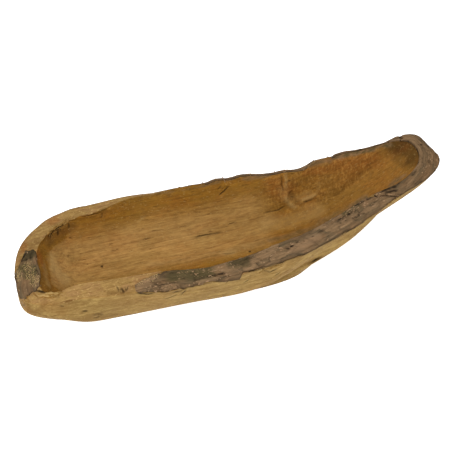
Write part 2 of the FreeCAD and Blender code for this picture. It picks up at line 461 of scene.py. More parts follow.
# %% Coordinates along the grain
BEND_START = -60.0          # mm, where the root begins to turn towards the tip
BEND_RUN = 400.0
BEND_SIDE = 58.0
BEND_RISE = 28.0


def along_grain(points):
    """Places in mm with the bend of the root taken out."""
    s = np.clip((points[..., 0] - BEND_START) / BEND_RUN, 0, 1.2)**2
    return np.stack([points[..., 0], points[..., 1] - BEND_SIDE * s, points[..., 2] - BEND_RISE * s], axis=-1)


def outward_of(grid):
    """Unit normals of a closed grid of rows and columns, pointing out of the wood."""
    across = np.roll(grid, -1, axis=1) - np.roll(grid, 1, axis=1)
    up = np.gradient(grid, axis=0)
    normal = np.cross(across, up)
    return normal / np.maximum(np.linalg.norm(normal, axis=-1, keepdims=True), 1e-9)


row_number = np.arange(ROWS)[:, None] * np.ones((1, COLUMNS))
brim_across = np.clip((LAST_BRIM - np.arange(ROWS)) / (LAST_BRIM - FIRST_BRIM), 0, 1)
flat_share = eased(BRIM_ROWS)
brim_across[FIRST_BRIM:LAST_BRIM + 1] = 1 - flat_share
bed = np.zeros((ROWS, COLUMNS))
for plate in plates:
    bed = np.maximum(bed, plate.cover(around[None, :], brim_across[:, None]))
inner_drop, outer_drop = bed[LAST_BRIM], bed[FIRST_BRIM]
below_inner = bare[LAST_BRIM, :, 2] - bare[LAST_BRIM:, :, 2]
below_outer = bare[FIRST_BRIM, :, 2] - bare[:FIRST_BRIM, :, 2]
near_brim = np.concatenate([1 - smooth(below_outer / 16), np.ones((LAST_BRIM - FIRST_BRIM, COLUMNS)),
                            1 - smooth(below_inner / 16)])
grid = bare.copy()
grid[:FIRST_BRIM, :, 2] -= outer_drop * near_brim[:FIRST_BRIM]
grid[FIRST_BRIM:LAST_BRIM, :, 2] -= bed[FIRST_BRIM:LAST_BRIM]
grid[LAST_BRIM:, :, 2] -= inner_drop * near_brim[LAST_BRIM:]
print("deepest bed, mm:", round(float(bed.max()), 2))

# %% [markdown]
# Marks that the photograph shows are placed by looking through the camera.  Each
# is a short path of pixels with a real width and depth; the ray through a pixel
# meets the bare bowl at one spot, and the path is laid over those spots.

# %% Looking through the camera
FOCAL_PIXELS = LENS / SENSOR * PHOTO_SIZE
camera_axes = camera.rotation_euler.to_matrix()


def grid_faces(rows, columns, closed_rows=False):
    """Quads of a grid whose columns close on themselves."""
    last = rows if closed_rows else rows - 1
    r, c = np.meshgrid(np.arange(last), np.arange(columns), indexing="ij")
    r2, c2 = (r + 1) % rows, (c + 1) % columns
    quads = np.stack([r * columns + c, r * columns + c2, r2 * columns + c2, r2 * columns + c], axis=-1)
    return quads.reshape(-1, 4).tolist()


bare_faces = grid_faces(ROWS, COLUMNS)
looking_glass = BVHTree.FromPolygons((bare.reshape(-1, 3) * MM).tolist(), bare_faces)


def seen_at(pixel):
    """The spot of the bare bowl, in mm, behind a pixel; one just off it is pulled in."""
    for pull in (0, 0.02, 0.04, 0.06):
        x = (pixel[0] - PHOTO_SIZE / 2) * (1 - pull) / FOCAL_PIXELS
        y = (PHOTO_SIZE / 2 - pixel[1]) * (1 - pull) / FOCAL_PIXELS
        ray = camera_axes @ Vector((x, y, -1.0)).normalized()
        spot = looking_glass.ray_cast(camera.location, ray)[0]
        if spot is not None:
            return np.array(spot) / MM
    raise ValueError(f"no wood behind pixel {pixel}")


def pixels_of(points):
    """Where the photograph shows spots given in mm."""
    seen = (np.asarray(points) * MM - np.array(camera.location)) @ np.array(camera_axes)
    return np.stack([PHOTO_SIZE / 2 - FOCAL_PIXELS * seen[..., 0] / seen[..., 2],
                     PHOTO_SIZE / 2 + FOCAL_PIXELS * seen[..., 1] / seen[..., 2]], axis=-1)


def distance_to_path(points, path):
    """Distance of every point from a path, and how far along the path it is, 0 to 1."""
    best = np.full(points.shape[:-1], 1e9)
    place = np.zeros(points.shape[:-1])
    for i in range(max(1, len(path) - 1)):
        a, b = path[i], path[min(i + 1, len(path) - 1)]
        leg = b - a
        t = np.clip(((points - a) @ leg) / max(float(leg @ leg), 1e-9), 0, 1)
        away = np.linalg.norm(points - (a + t[..., None] * leg), axis=-1)
        closer = away < best
        best = np.where(closer, away, best)
        place = np.where(closer, (i + t) / max(1, len(path) - 1), place)
    return best, place


def side_of_path(points, normals, path):
    """-1 or 1 for the side of a path that every point is on, seen from outside the wood."""
    best = np.full(points.shape[:-1], 1e9)
    side = np.ones(points.shape[:-1])
    for a, b in zip(path[:-1], path[1:]):
        leg = b - a
        t = np.clip(((points - a) @ leg) / max(float(leg @ leg), 1e-9), 0, 1)
        offset = points - (a + t[..., None] * leg)
        away = np.linalg.norm(offset, axis=-1)
        across = np.einsum("...i,...i", np.cross(leg, normals), offset)
        side = np.where(away < best, np.where(across < 0, -1.0, 1.0), side)
        best = np.minimum(best, away)
    return side


print("wood at the middle of the floor:", seen_at((150, 240)).round(1))

# %% [markdown]
# The far rim is seen against the light ground, so every bump of it shows.  A short
# table lifts or lowers it, in mm, at pixels along the rim; the lift fades out down
# the wall, and the crust on the rim takes the same lift.

# %% Bumps of the far rim
FAR_RIM = [(36, 0), (44, 2), (60, 1), (70, 3), (80, 3), (86, 2), (104, 3), (116, 3), (128, 2), (140, 0), (152, -2),
           (164, 0), (176, 1.5), (194, 1.5), (206, 1), (210, 3.5), (214, 4.5), (220, 2), (226, -1), (232, -1),
           (237, 1), (248, 2), (256, 0), (272, -1.5), (280, 0.5), (286, 0.5), (292, -1.5), (298, -4), (304, -4),
           (312, -1), (322, -2), (331, -2.5), (333, 1), (340, 2), (352, 0), (398, 0)]


def rim_lift(shares):
    """Lift of the far rim in mm, at shares of the brim's length."""
    shares = np.asarray(shares) % 1.0
    spots_x = pixels_of(closed_spline(brim_outer, STATIONS, shares.ravel()) + table_shift)[:, 0].reshape(shares.shape)
    far_side = (shares > share_at(21.5)) & (shares < share_at(42))
    return np.where(far_side, np.interp(spots_x, *zip(*FAR_RIM)), 0.0)


grid[..., 2] += rim_lift(around) * near_brim
print("rim lifted by up to", rim_lift(around).max().round(1), "mm")

# %% [markdown]
# Three kinds of mark are cut or raised here: checks, which are narrow splits along
# the grain; holes left by borers; and swellings, such as the ridge round the old
# knot.  The table of checks also holds thin lines of painted shadow under the edge
# of the crust and under the broken ledge, cut like checks.  Every mark also leaves
# a mask on the points it touches, so that the finish can darken a split or a
# painted shadow line, or lighten a fresh break.

# %% Marks in the wood
SPLITS_AND_SHADOW_LINES = {
    # pixels of the path, width and depth in mm, darkness
    "floor_check": ([(193, 237.5), (203, 235.5), (213, 233.5), (223, 232)], 2.0, 0.7, 0.5),
    "floor_check_end": ([(227.6, 224.5), (236, 222)], 1.5, 0.4, 0.35),
    "floor_check_low": ([(222, 254), (236, 252.5)], 1.5, 0.3, 0.3),
    "slanting_cut": ([(230, 185.5), (224.5, 191), (218.5, 196)], 1.7, 0.8, 0.55),
    "slanting_nick": ([(221, 186), (218, 190)], 1.8, 0.5, 0.4),
    "knot_line_left": ([(263, 213), (272, 211.5), (280, 209.5), (286, 206)], 1.8, 0.6, 0.45),
    "knot_line_right": ([(303, 202), (308, 201), (314, 198.5)], 1.8, 0.6, 0.5),
    "knot_fold": ([(281.5, 175), (281.5, 181), (282.5, 187), (284, 192)], 2.2, 0.7, 0.35),
    # a painted shadow line under the broken ledge, cut as a groove
    "ledge_shadow": ([(33, 290.5), (44, 292), (52, 293.5), (58, 294.5)], 3.0, 1.6, 0.8),
    "far_rim_line": ([(48, 238), (55, 230), (62, 226), (70, 221)], 2.4, 1.0, 0.7),
    "far_rim_line_end": ([(80, 217), (92, 214.5), (103, 212.5)], 1.8, 0.6, 0.5),
    "gouge_one": ([(58, 228), (58.5, 236)], 2.6, 0.9, 0.5), "gouge_two": ([(52, 232), (51, 240)], 2.2, 0.8, 0.45),
    "gouge_three": ([(69, 222.5), (69, 229)], 2.2, 0.7, 0.4), "gouge_four": ([(103, 213), (101, 219)], 2.2, 0.8, 0.4),
    "stroke_left": ([(117, 286), (119, 292)], 2.1, 0.4, 0.45), "stroke_mid": ([(121.5, 287.5), (124, 293.5)], 2.4, 0.5, 0.6),
    "stroke_right": ([(128.5, 286), (126, 291.5)], 2.1, 0.4, 0.4),
    "wall_stroke_low": ([(164, 299), (170, 297.5), (178, 294)], 2.4, 0.5, 0.6),
    "wall_stroke_mid": ([(172, 292.5), (180, 291), (188, 287.5)], 2.4, 0.5, 0.6),
    "wall_stroke_high": ([(181, 295), (186, 290)], 2.3, 0.5, 0.5),
    "chip_line": ([(262, 270), (270, 272.5), (279, 268)], 2.2, 0.6, 0.5),
    "chip_line_low": ([(275, 276), (281, 272)], 2.1, 0.5, 0.45),
    # the next four are painted shadow lines under the lower edge of the crust
    "crust_shadow_left": ([(137, 293.2), (146, 294), (154, 293.4)], 2.2, 1.0, 0.9),
    "crust_shadow_mid": ([(188, 287.5), (197, 285.8), (206, 283.6)], 2.2, 0.9, 0.85),
    "flake_shadow": ([(224, 279), (232, 279.4), (240, 277.8)], 2.0, 1.0, 0.95),
    "crust_shadow_right": ([(240, 271.8), (250, 270.8), (262, 269.6)], 2.0, 0.9, 0.85),
    "wall_nick": ([(226, 283), (229, 280)], 2.2, 0.4, 0.5), "wall_nick_right": ([(243, 283), (249, 280)], 2.2, 0.4, 0.5),
    "dark_knot": ([(82.5, 311), (87.5, 311)], 2.8, 0.8, 0.9), "dark_knot_left": ([(60, 306), (64, 306.5)], 1.8, 0.5, 0.5),
    "swirl_low": ([(92, 315), (98, 313.5), (104, 315)], 1.8, 0.5, 0.45), "swirl_foot": ([(93, 318.5), (100, 317)], 1.8, 0.5, 0.5),
    "lower_spot": ([(311.5, 263), (316, 261), (320, 258.5)], 4.6, 1.8, 1.0),
}
HOLES = {"near_hole": ((102, 266), 2.0), "crust_hole": ((250, 251.2), 1.9),
         "dead_knot": ((314, 262), 2.8), "dead_knot_end": ((318, 259.6), 2.2)}
SWELLINGS = {
    # pixels of the path, width and height in mm, paleness
    "knot_ridge": ([(284.5, 196), (286, 200), (289, 203.5), (292.5, 206), (297, 208.5)], 4.4, 2.6, 0.8),
    "knot_brow": ([(301, 200), (306, 198.8), (311, 197), (316, 194)], 4.4, 1.3, 0.9),
    "knot_swirl": ([(316, 194), (319, 188), (317, 181)], 4.0, 0.7, 0.2),
    "upper_fold": ([(286, 173), (286, 181), (286, 189)], 4.0, 1.2, 0.6),
    "broken_ledge": ([(24, 302), (30, 298), (38, 296), (47, 296), (55, 294.5), (61, 293)], 4.2, 2.0, 0.9),
    "ledge_root": ([(50, 299), (56, 297.5)], 5.0, 1.0, 0.7), "old_scratch": ([(137, 223), (141, 219.5), (145, 217)], 2.4, 0.1, 0.4),
}
HOLLOWS = {
    "notch_far_left": ([(57, 228), (61, 226)], 6.0, 1.8), "notch_far_mid": ([(102, 212), (105, 211)], 6.0, 1.6),
    "knot_pit": ([(290.5, 194), (293, 199), (297, 203)], 5.0, 2.6), "torn_chip": ([(264, 270), (273, 267.5), (281, 264.5)], 9.0, 1.2),
}
# patches of another colour: pixels of the path, reach in mm, strength if below 1
AMBER_PATCHES = {
    "far_brim": ([(51, 222), (56, 220)], 10.0), "heel_end": ([(23.5, 246), (23, 251)], 7.0),
    "heel_wall": ([(39, 256), (42, 262)], 12.0), "far_wall_mid": ([(275, 186), (285, 190)], 24.0),
    "corner": ([(26, 309), (28, 311)], 7.0, 0.6), "far_wall_tip": ([(335, 165), (352, 163), (372, 159)], 20.0),
    "near_wall_left": ([(46, 307), (62, 311)], 14.0, 0.25), "rim_right": ([(306, 172), (326, 170)], 9.0),
    "tip_near_edge": ([(428, 168), (434, 163)], 5.0, 0.8),
}
# brown patches: stains and streaks, together with painted shade under the far rim, in the heel's cove, beside the near
# crust and on the near floor
BROWN_PATCHES = {
    "far_rim_shade": ([(50, 240), (58, 234), (70, 228)], 13.0), "heel_cove_shade": ([(42, 272), (43, 284), (50, 289)], 11.0, 0.45),
    "brim_smear": ([(108, 294), (118, 293.5), (132, 292.5)], 3.5, 0.7),
    "beside_crust_low": ([(262, 243), (290, 236), (320, 224)], 13.0, 0.25),
    "beside_crust_high": ([(320, 224), (350, 210), (380, 194)], 16.0, 0.45),
    "near_floor": ([(85, 281), (120, 275), (160, 267)], 9.0, 0.25), "heel_corner": ([(24, 300), (27, 308), (36, 312)], 11.0),
    "wall_streak": ([(66, 303), (84, 302.5)], 4.5, 0.7), "wall_streak_low": ([(50, 314), (72, 317)], 6.0, 0.55),
    "foot_corner": ([(88, 316), (100, 315)], 9.0, 0.5),
    "foot_edge": ([(24, 308), (36, 315), (60, 318), (90, 319), (115, 315)], 8.0, 0.5),
    "heel_brim": ([(29, 250), (36, 242)], 8.0, 0.75),
    "wall_left": ([(44, 309), (70, 309), (100, 306), (128, 302)], 15.0, 0.5),
    "brim_mid": ([(124, 290), (138, 287)], 8.0, 0.4), "floor_left": ([(86, 245), (98, 244)], 12.0, 0.22),
    "floor_low": ([(97, 267), (110, 265)], 10.0, 0.3),
    "heel_strip": ([(20, 258), (22, 250), (26, 243)], 7.0, 0.4),
}
# pale patches: fresh wood, together with painted light on the floor and wall at the heel and beside the knot, where the
# hollow's shade falls
PALE_PATCHES = {"heel_floor_light": ([(52, 260), (56, 270), (64, 279)], 15.0, 0.7), "floor_right": ([(268, 224), (290, 221), (318, 209)], 16.0, 0.42),
                "knot_side_light": ([(283, 189), (287, 198), (298, 199), (308, 194)], 10.0, 0.25),
                "floor_near": ([(188, 263), (202, 260), (232, 252)], 9.0, 0.4),
                "heel_wall_light": ([(45, 264), (46, 272), (48, 284)], 9.0, 0.45), "torn_chip": ([(262, 270), (271, 268), (280, 266.5)], 10.0, 0.9),
                "middle_floor": ([(130, 236), (165, 232), (205, 232)], 22.0, 0.16)}
# the deep end of the hollow at the tip, painted dark as shade
TIP_SHADE_PATCHES = {
    "far_end": ([(397, 144), (405, 146), (411, 151), (413, 158)], 27.0), "far_corner": ([(398, 141), (408, 142.5), (415, 149)], 19.0),
    "middle": ([(398, 158), (404, 164)], 14.0, 0.5),
}

flat_points = grid.reshape(-1, 3)
relief = np.zeros(len(flat_points))
dark = np.zeros(len(flat_points))
pale = np.zeros(len(flat_points))


def spots(pixels):
    return [seen_at(p) for p in pixels]


flat_normals = outward_of(bare).reshape(-1, 3)
# a thin line is kept as a signed distance, which stays sharp between the points of a mesh
line_across = np.full(len(flat_points), 99.0)
line_shadow = np.zeros(len(flat_points))
for pixels, width, depth, shadow in SPLITS_AND_SHADOW_LINES.values():
    away, place = distance_to_path(flat_points, spots(pixels))
    signed = away * side_of_path(flat_points, flat_normals, spots(pixels)) + 0.7 * lattice_noise(flat_points, 5, 3)
    signed *= 1.7 / width
    ends = smooth(place * 4 + 0.15) * smooth((1 - place) * 4 + 0.15)
    mark = smooth(1.35 - away / width) * ends
    relief -= depth * mark
    dark = np.maximum(dark, mark * shadow * 0.35)
    nearest = away < np.minimum(np.abs(line_across), 9.0)
    line_across = np.where(nearest, signed, line_across)
    line_shadow = np.where(nearest, min(1.0, 1.4 * shadow) * ends * smooth((9 - away) / 4), line_shadow)
for pixel, radius in HOLES.values():
    away, _ = distance_to_path(flat_points, [seen_at(pixel)])
    mark = smooth(1.6 - away / radius)
    relief -= 2.2 * mark
    dark = np.maximum(dark, mark)
for pixels, width, height, paleness in SWELLINGS.values():
    away, place = distance_to_path(flat_points, spots(pixels))
    mark = smooth(1.2 - (away + 0.8 * lattice_noise(flat_points, 6, 19)) / width)
    mark *= smooth(place * 5 + 0.35) * smooth((1 - place) * 5 + 0.35)
    torn = 1 + 0.55 * rough(flat_points, 8, 8)
    relief += height * mark * torn
    pale = np.maximum(pale, mark * np.clip(torn, 0, 1) * paleness)
for pixels, width, depth in HOLLOWS.values():
    away, _ = distance_to_path(flat_points, spots(pixels))
    mark = smooth(1.2 - away / width)
    relief -= depth * mark
    # each hollow is painted a little darker, as shade in the dip
    dark = np.maximum(dark, mark * 0.2)


def patches(points, table, ragged_by=5.0):
    """A mask from 0 to 1 round each path of a table of patches."""
    mask = np.zeros(points.shape[:-1])
    for pixels, size, *strength in table.values():
        away, _ = distance_to_path(points, spots(pixels))
        away = away + ragged_by * rough(points, (24, 9, 9), 12)
        mask = np.maximum(mask, (strength or [1.0])[0] * smooth(1.25 - away / size))
    return mask


WEATHERED_PATCHES = {
    "inside_near_tip": ([(352, 206), (364, 198), (378, 192), (392, 184), (404, 175)], 9.0, 0.7),
    "near_floor": ([(150, 264), (190, 259), (230, 251), (262, 243)], 9.0, 0.2),
    "inside_near_mid": ([(270, 240), (296, 234), (320, 224), (340, 213), (352, 206)], 8.0, 0.42),
    "heel_near_corner": ([(19, 290), (21, 298), (23, 305)], 7.0),
    "far_rim_strip": ([(303, 167), (312, 164), (322, 162), (331, 161)], 7.0, 0.8),
    "far_rim_right": ([(333, 158.5), (350, 154.5), (372, 149.5), (390, 143.5)], 6.5, 0.9),
    "far_rim_mid": ([(118, 198), (150, 195), (190, 188.5)], 3.0, 0.4),
    "far_rim_left": ([(194, 188), (212, 184), (228, 181), (250, 178), (270, 176)], 3.5, 0.6),
}
FRAYED_EDGES = {
    "far_left": ([(45, 240), (52, 232), (60, 226), (75, 217), (90, 213), (106, 210)], 12.0),
    "ledge": ([(24, 302.5), (30, 299), (38, 297), (47, 297.5), (55, 296), (61, 293.5)], 10.0),
}
weathered = patches(flat_points, WEATHERED_PATCHES, 5.0)
frayed = patches(flat_points, FRAYED_EDGES, 3.0)
amber = patches(flat_points, AMBER_PATCHES)
brown = patches(flat_points, BROWN_PATCHES)
pale = np.maximum(pale, patches(flat_points, PALE_PATCHES))
line_across = np.clip(line_across, -9, 9)
print("marks:", len(SPLITS_AND_SHADOW_LINES) + len(HOLES) + len(SWELLINGS) + len(HOLLOWS),
      "patches:", len(AMBER_PATCHES) + len(BROWN_PATCHES))

# %% [markdown]
# Last comes the work of the tools all over: broad lumps, the shallow scoops that a
# gouge leaves inside, and flats from the axe outside.  The foot stays true,
# because the bowl rests on it, and the brim only wavers.

# %% Tool marks
grained = along_grain(flat_points)
rows_flat = row_number.reshape(-1)
is_inside = smooth((rows_flat - LAST_BRIM) / 3.0)
is_outside = smooth((FIRST_BRIM - rows_flat) / 3.0)
off_foot = smooth(flat_points[:, 2] / 14.0)
lumps = 0.8 * lattice_noise(grained, (120, 60, 60), 1)
scoops = -0.55 * np.abs(lattice_noise(grained, (46, 15, 15), 2)) + 0.2 * lattice_noise(grained, (22, 9, 9), 5)
axe_flats = -0.7 * np.abs(lattice_noise(grained, (60, 34, 30), 4)) + 0.15 * lattice_noise(grained, (30, 8, 8), 6)
steep_bare = smooth((0.9 - outward_of(bare).reshape(-1, 3)[:, 2]) / 0.4)
cross_zone = steep_bare * is_inside * (smooth((flat_points[:, 0] - 40) / 60) * smooth((320 - flat_points[:, 0]) / 60)
                                       + smooth((-230 - flat_points[:, 0]) / 50))
cross_cuts = -1.3 * np.abs(lattice_noise(grained, (10, 30, 36), 14)) + 0.45 * lattice_noise(grained, (5, 10, 12), 15)
relief += frayed * (1.9 * rough(grained, (12, 7, 7), 16) + 0.6 * lattice_noise(grained, 3.5, 17))
relief += off_foot * (lumps + scoops * is_inside + axe_flats * is_outside + cross_cuts * cross_zone)
body_points = flat_points + outward_of(grid).reshape(-1, 3) * relief[:, None]
body_points[:, 2] = np.maximum(body_points[:, 2], 0.0)

edge_rows = np.exp(-((rows_flat - LAST_BRIM) / 1.6)**2)
shares_flat = np.tile(around, ROWS)
sway = (ragged(shares_flat, 18, 7) * 0.8 + ragged(shares_flat, 6, 9) * 0.45) * (1 + 2.4 * frayed)
column_outward = outward_of(grid)[FIRST_BRIM - 3] * np.array([1, 1, 0])
column_outward /= np.linalg.norm(column_outward, axis=1)[:, None]
body_points += np.tile(column_outward, (ROWS, 1)) * (edge_rows * sway)[:, None]
print("relief from", relief.min().round(2), "to", relief.max().round(2), "mm")

# %% [markdown]
# The grid is open at two places: a thin slit along the middle of the floor, and
# one under the foot.  Each is closed like a zip, taking the next point from
# whichever side is further behind.  The mesh is then one closed skin.

# %% The carved body
def zip_faces(points, ring_start, columns, flip):
    """Triangles that close the slit inside one ring of the grid."""
    x = points[ring_start:ring_start + columns, 0]
    first, last = int(x.argmin()), int(x.argmax())
    one = [(first + i) % columns for i in range((last - first) % columns + 1)]
    two = [(first - i) % columns for i in range((first - last) % columns + 1)]
    faces, a, b = [], 0, 0
    while a < len(one) - 1 or b < len(two) - 1:
        step_one = b == len(two) - 1 or (a < len(one) - 1 and x[one[a + 1]] <= x[two[b + 1]])
        if step_one:
            face = (one[a], one[a + 1], two[b])
            a += 1
        else:
            face = (two[b + 1], two[b], one[a])
            b += 1
        if len(set(face)) == 3:
            faces.append([ring_start + v for v in (face[::-1] if flip else face)])
    return faces


def make_object(name, points, faces):
    """A smooth mesh object whose place is in its mesh; points are in mm."""
    mesh = bpy.data.meshes.new(name)
    mesh.from_pydata((points * MM).tolist(), [], faces)
    mesh.shade_smooth()
    obj = bpy.data.objects.new(name, mesh)
    bpy.context.scene.collection.objects.link(obj)
    return obj


def paint(obj, **values):
    """Stores arrays on the points of a mesh, for the finishes to read."""
    for name, data in values.items():
        kind = "FLOAT_VECTOR" if np.ndim(data) == 2 else "FLOAT"
        layer = obj.data.attributes.new(name, kind, "POINT")
        layer.data.foreach_set("vector" if kind == "FLOAT_VECTOR" else "value",
                               np.ascontiguousarray(data, np.float32).ravel())


SQUEEZE = 2.0               # mm below the top of the box where heights begin to be squeezed


def keep_in_box(points):
    """Points in mm, none past the model's own box; the highest are squeezed, not cut flat."""
    low, high = np.array(cad_low) / MM, np.array(cad_high) / MM
    over = np.maximum(points[:, 2] - (high[2] - SQUEEZE), 0)
    squeezed = points.copy()
    squeezed[:, 2] += SQUEEZE * (1 - np.exp(-over / SQUEEZE)) - over
    return np.clip(squeezed, low, high)


body_points = keep_in_box(body_points)
body_faces = (bare_faces
              + zip_faces(body_points, (ROWS - 1) * COLUMNS, COLUMNS, flip=False)
              + zip_faces(body_points, 0, COLUMNS, flip=True))
carved_bowl = make_object("carved_bowl", body_points, body_faces)
print("carved bowl:", len(body_points), "points,", len(body_faces), "faces")

# %% [markdown]
# The finish needs to know where on the bowl it is: outside, on the brim, on the
# steep inner walls, out towards the tip.  Texture painting would need an image;
# instead each point stores a few numbers between 0 and 1, worked out from its
# row, its slope and its place, and the material reads them by name.

# %% What the body's points know
on_brim = smooth((rows_flat - FIRST_BRIM + 2.0) / 4.0) * smooth((LAST_BRIM - rows_flat + 0.4) / 1.2)
outside = smooth((FIRST_BRIM + 1.6 - rows_flat) / 3.0)
seen_x, seen_y = pixels_of(flat_points).T
# glow: where the floor is painted paler, partly its own tone and partly painted light; away from it the steep walls
# keep a darker gold, partly painted shade
away, _ = distance_to_path(flat_points, spots([(60, 271), (80, 266), (120, 256), (170, 244), (212, 233), (245, 226)]))
glow = smooth(1.5 - (away + 9 * rough(grained, (60, 20, 20), 18)) / 48)
heel_foot = np.interp(seen_y, [238, 246, 252, 283, 289, 293], [66, 54, 48.5, 50, 57, 66])
glow *= smooth((seen_x - heel_foot + 1.5 * rough(grained, 14, 24)) / 3)
# painted shade in the hollow at the tip end
tip_end = patches(flat_points, TIP_SHADE_PATCHES, 6.0) * (1 - outside) * (1 - on_brim)
tipward = smooth((body_points[:, 0] - 10) / 230)
# the outside is darker towards its bottom edge
foot_darkening = 0.3 * (1 - smooth(body_points[:, 2] / 4)) * outside
far_edge = np.tile((around > share_at(21.5)) & (around < share_at(42)), ROWS) * np.exp(-((rows_flat - FIRST_BRIM) / 1.4)**2)
# painted shadow on the outer wall just under the edge of the crust
under_crust_shadow = smooth(np.repeat(bed.max(0)[None, :], ROWS, 0).reshape(-1) / 2.0) \
    * np.exp(-((rows_flat - FIRST_BRIM) / 1.3)**2) * (0.7 + 0.6 * lattice_noise(grained, 9, 21))
paint(carved_bowl,
      grain=grained, brim=on_brim, outside=outside, glow=glow, tipward=tipward, tip_end=tip_end,
      amber=amber, brown=brown, weathered=weathered,
      dark=np.clip(dark + 0.8 * under_crust_shadow + 0.35 * far_edge + foot_darkening, 0, 1), pale=pale,
      chatter=np.clip(cross_zone * smooth((body_points[:, 0] - 20) / 50)
                      * (1.3 + 1.4 * rough(grained, (40, 22, 22), 25)), 0, 1),
      line_across=line_across, line_shadow=line_shadow)
SPLINTERY = {
    "ledge": ([(24, 302), (30, 298.5), (38, 296.5), (47, 297), (55, 295.5), (61, 293)], 4.5),
    "split": ([(380, 206), (388, 203), (396, 199), (402, 195)], 4.0), "rim_left": ([(50, 233), (60, 226), (74, 217)], 4.0),
    "chip": ([(264, 270), (280, 266)], 4.0),
}
splintery = patches(body_points, SPLINTERY, 2.0)
brim_run = np.roll(inner_edge, -1, axis=0) - np.roll(inner_edge, 1, axis=0)
brim_run /= np.linalg.norm(brim_run, axis=1, keepdims=True)
paint(carved_bowl, splintery=splintery, run=np.tile(brim_run, (ROWS, 1)))
print("painted", len(carved_bowl.data.attributes), "attributes")

# %% [markdown]
# Each plate of crust is a closed strip: a top that follows the brim, crowned and
# ridged along the root, and an underside pressed into its bed.  Weathered wood
# comes off in layers, so the top is noise cut into soft steps.  A Displace
# modifier would move points the same way, but here the edges must stay put.

# %% The crust
OLIVE_PATCHES = {
    "heel_top": ([(28, 256), (31, 252), (35, 249)], 15.0), "near_left": ([(172, 275), (190, 275), (209, 272)], 15.0),
    "near_middle": ([(231, 263), (246, 261)], 10.0, 0.85), "tip_foot": ([(392, 174), (404, 168)], 14.0),
    "heel_low": ([(22, 268), (33, 272)], 14.0), "heel_mid": ([(27, 276), (33, 281)], 8.0), "near_right": ([(345, 212), (356, 208)], 10.0),
}


CHIPPED = {
    "flake_row": ([(200, 279), (214, 274), (230, 268)], 16.0), "pink_streak": ([(148, 288), (162, 287), (176, 284)], 8.0),
    "upper_band": ([(330, 226), (345, 216), (362, 204), (380, 196)], 14.0), "tip_rim": ([(425, 165), (432, 156)], 14.0),
    "mid_band": ([(262, 258), (282, 250), (300, 243)], 12.0),
}
GRITTY = {
    "heel": ([(27, 266), (31, 275), (35, 282)], 10.0), "heel_side": ([(19, 271), (20, 279)], 5.0),
    "near_left": ([(138, 283), (146, 279), (156, 276)], 6.0), "near_olive": ([(180, 273), (205, 271)], 5.0, 0.15),
}


RUBBED_PATCHES = {
    "mid": ([(292, 249), (305, 244), (317, 236)], 10.0, 0.45),
    "upper": ([(350, 214), (358, 210)], 7.0, 0.25),
}
CRUST_STAINS = {
    "heel_top": ([(28, 257), (33, 254), (36, 250)], 11.0, 0.8), "near_olive": ([(176, 275), (205, 273)], 8.0, 0.2), "near_left": ([(146, 287), (178, 286)], 7.0, 0.35),
    "tip_grey": ([(424, 151), (430, 160)], 10.0, 0.5), "heel_mid": ([(27, 267), (34, 277)], 9.0, 0.18),
    "triangle": ([(234, 262), (247, 261)], 7.0, 0.3), "heel_low": ([(23, 287), (30, 291)], 10.0, 0.6),
    "heel_side": ([(16, 278), (18, 290), (21, 301)], 3.0, 0.6),
    "upper": ([(335, 224), (356, 212)], 8.0, 0.4), "tip_foot": ([(394, 178), (402, 172)], 9.0, 0.7),
}
CRUST_CRACKS = {
    "heel_crack": ([(20, 262), (26, 260.5), (32, 258)], 1.5), "heel_ring": ([(32, 267), (38, 272), (40, 279)], 1.3),
    "heel_edge": ([(27, 252), (22, 259), (19, 265)], 1.5), "heel_top": ([(36, 248), (38, 254), (34, 260)], 1.3),
    "near_notch": ([(228, 268), (227, 262), (230, 259)], 1.4), "near_low": ([(207, 277), (216, 275), (226, 273)], 1.3),
    "mid_line": ([(282, 252), (291, 247), (299, 241)], 1.3), "upper_one": ([(330, 226), (343, 218), (356, 210)], 1.4),
    "upper_two": ([(338, 229), (350, 221), (360, 213)], 1.2), "upper_three": ([(352, 207), (362, 202), (372, 198)], 1.6),
    "split_low": ([(368, 197), (377, 193.5), (386, 189.5), (392, 188)], 2.3),
    "split_high": ([(390, 188), (395, 187), (400, 182.5)], 1.8), "split_hole": ([(385, 193), (391, 191.5), (398, 190)], 2.2),
    "ray_one": ([(421, 153), (430, 151)], 1.2), "ray_two": ([(421, 157), (433, 157)], 1.2),
    "ray_three": ([(419, 163), (430, 163)], 1.2), "ray_four": ([(416, 146), (425, 144)], 1.2),
    "tip_edge": ([(405, 170), (414, 162), (418, 152)], 1.6),
}


def split_line(w):
    """The slanting split between near and tip crust: mm along the brim at a share across it."""
    line = np.stack([np.asarray(w) * 30, np.zeros(np.shape(w)), np.zeros(np.shape(w))], -1)
    return 38 * (np.asarray(w) - 0.5) + 6 * rough(line, 9, 3)


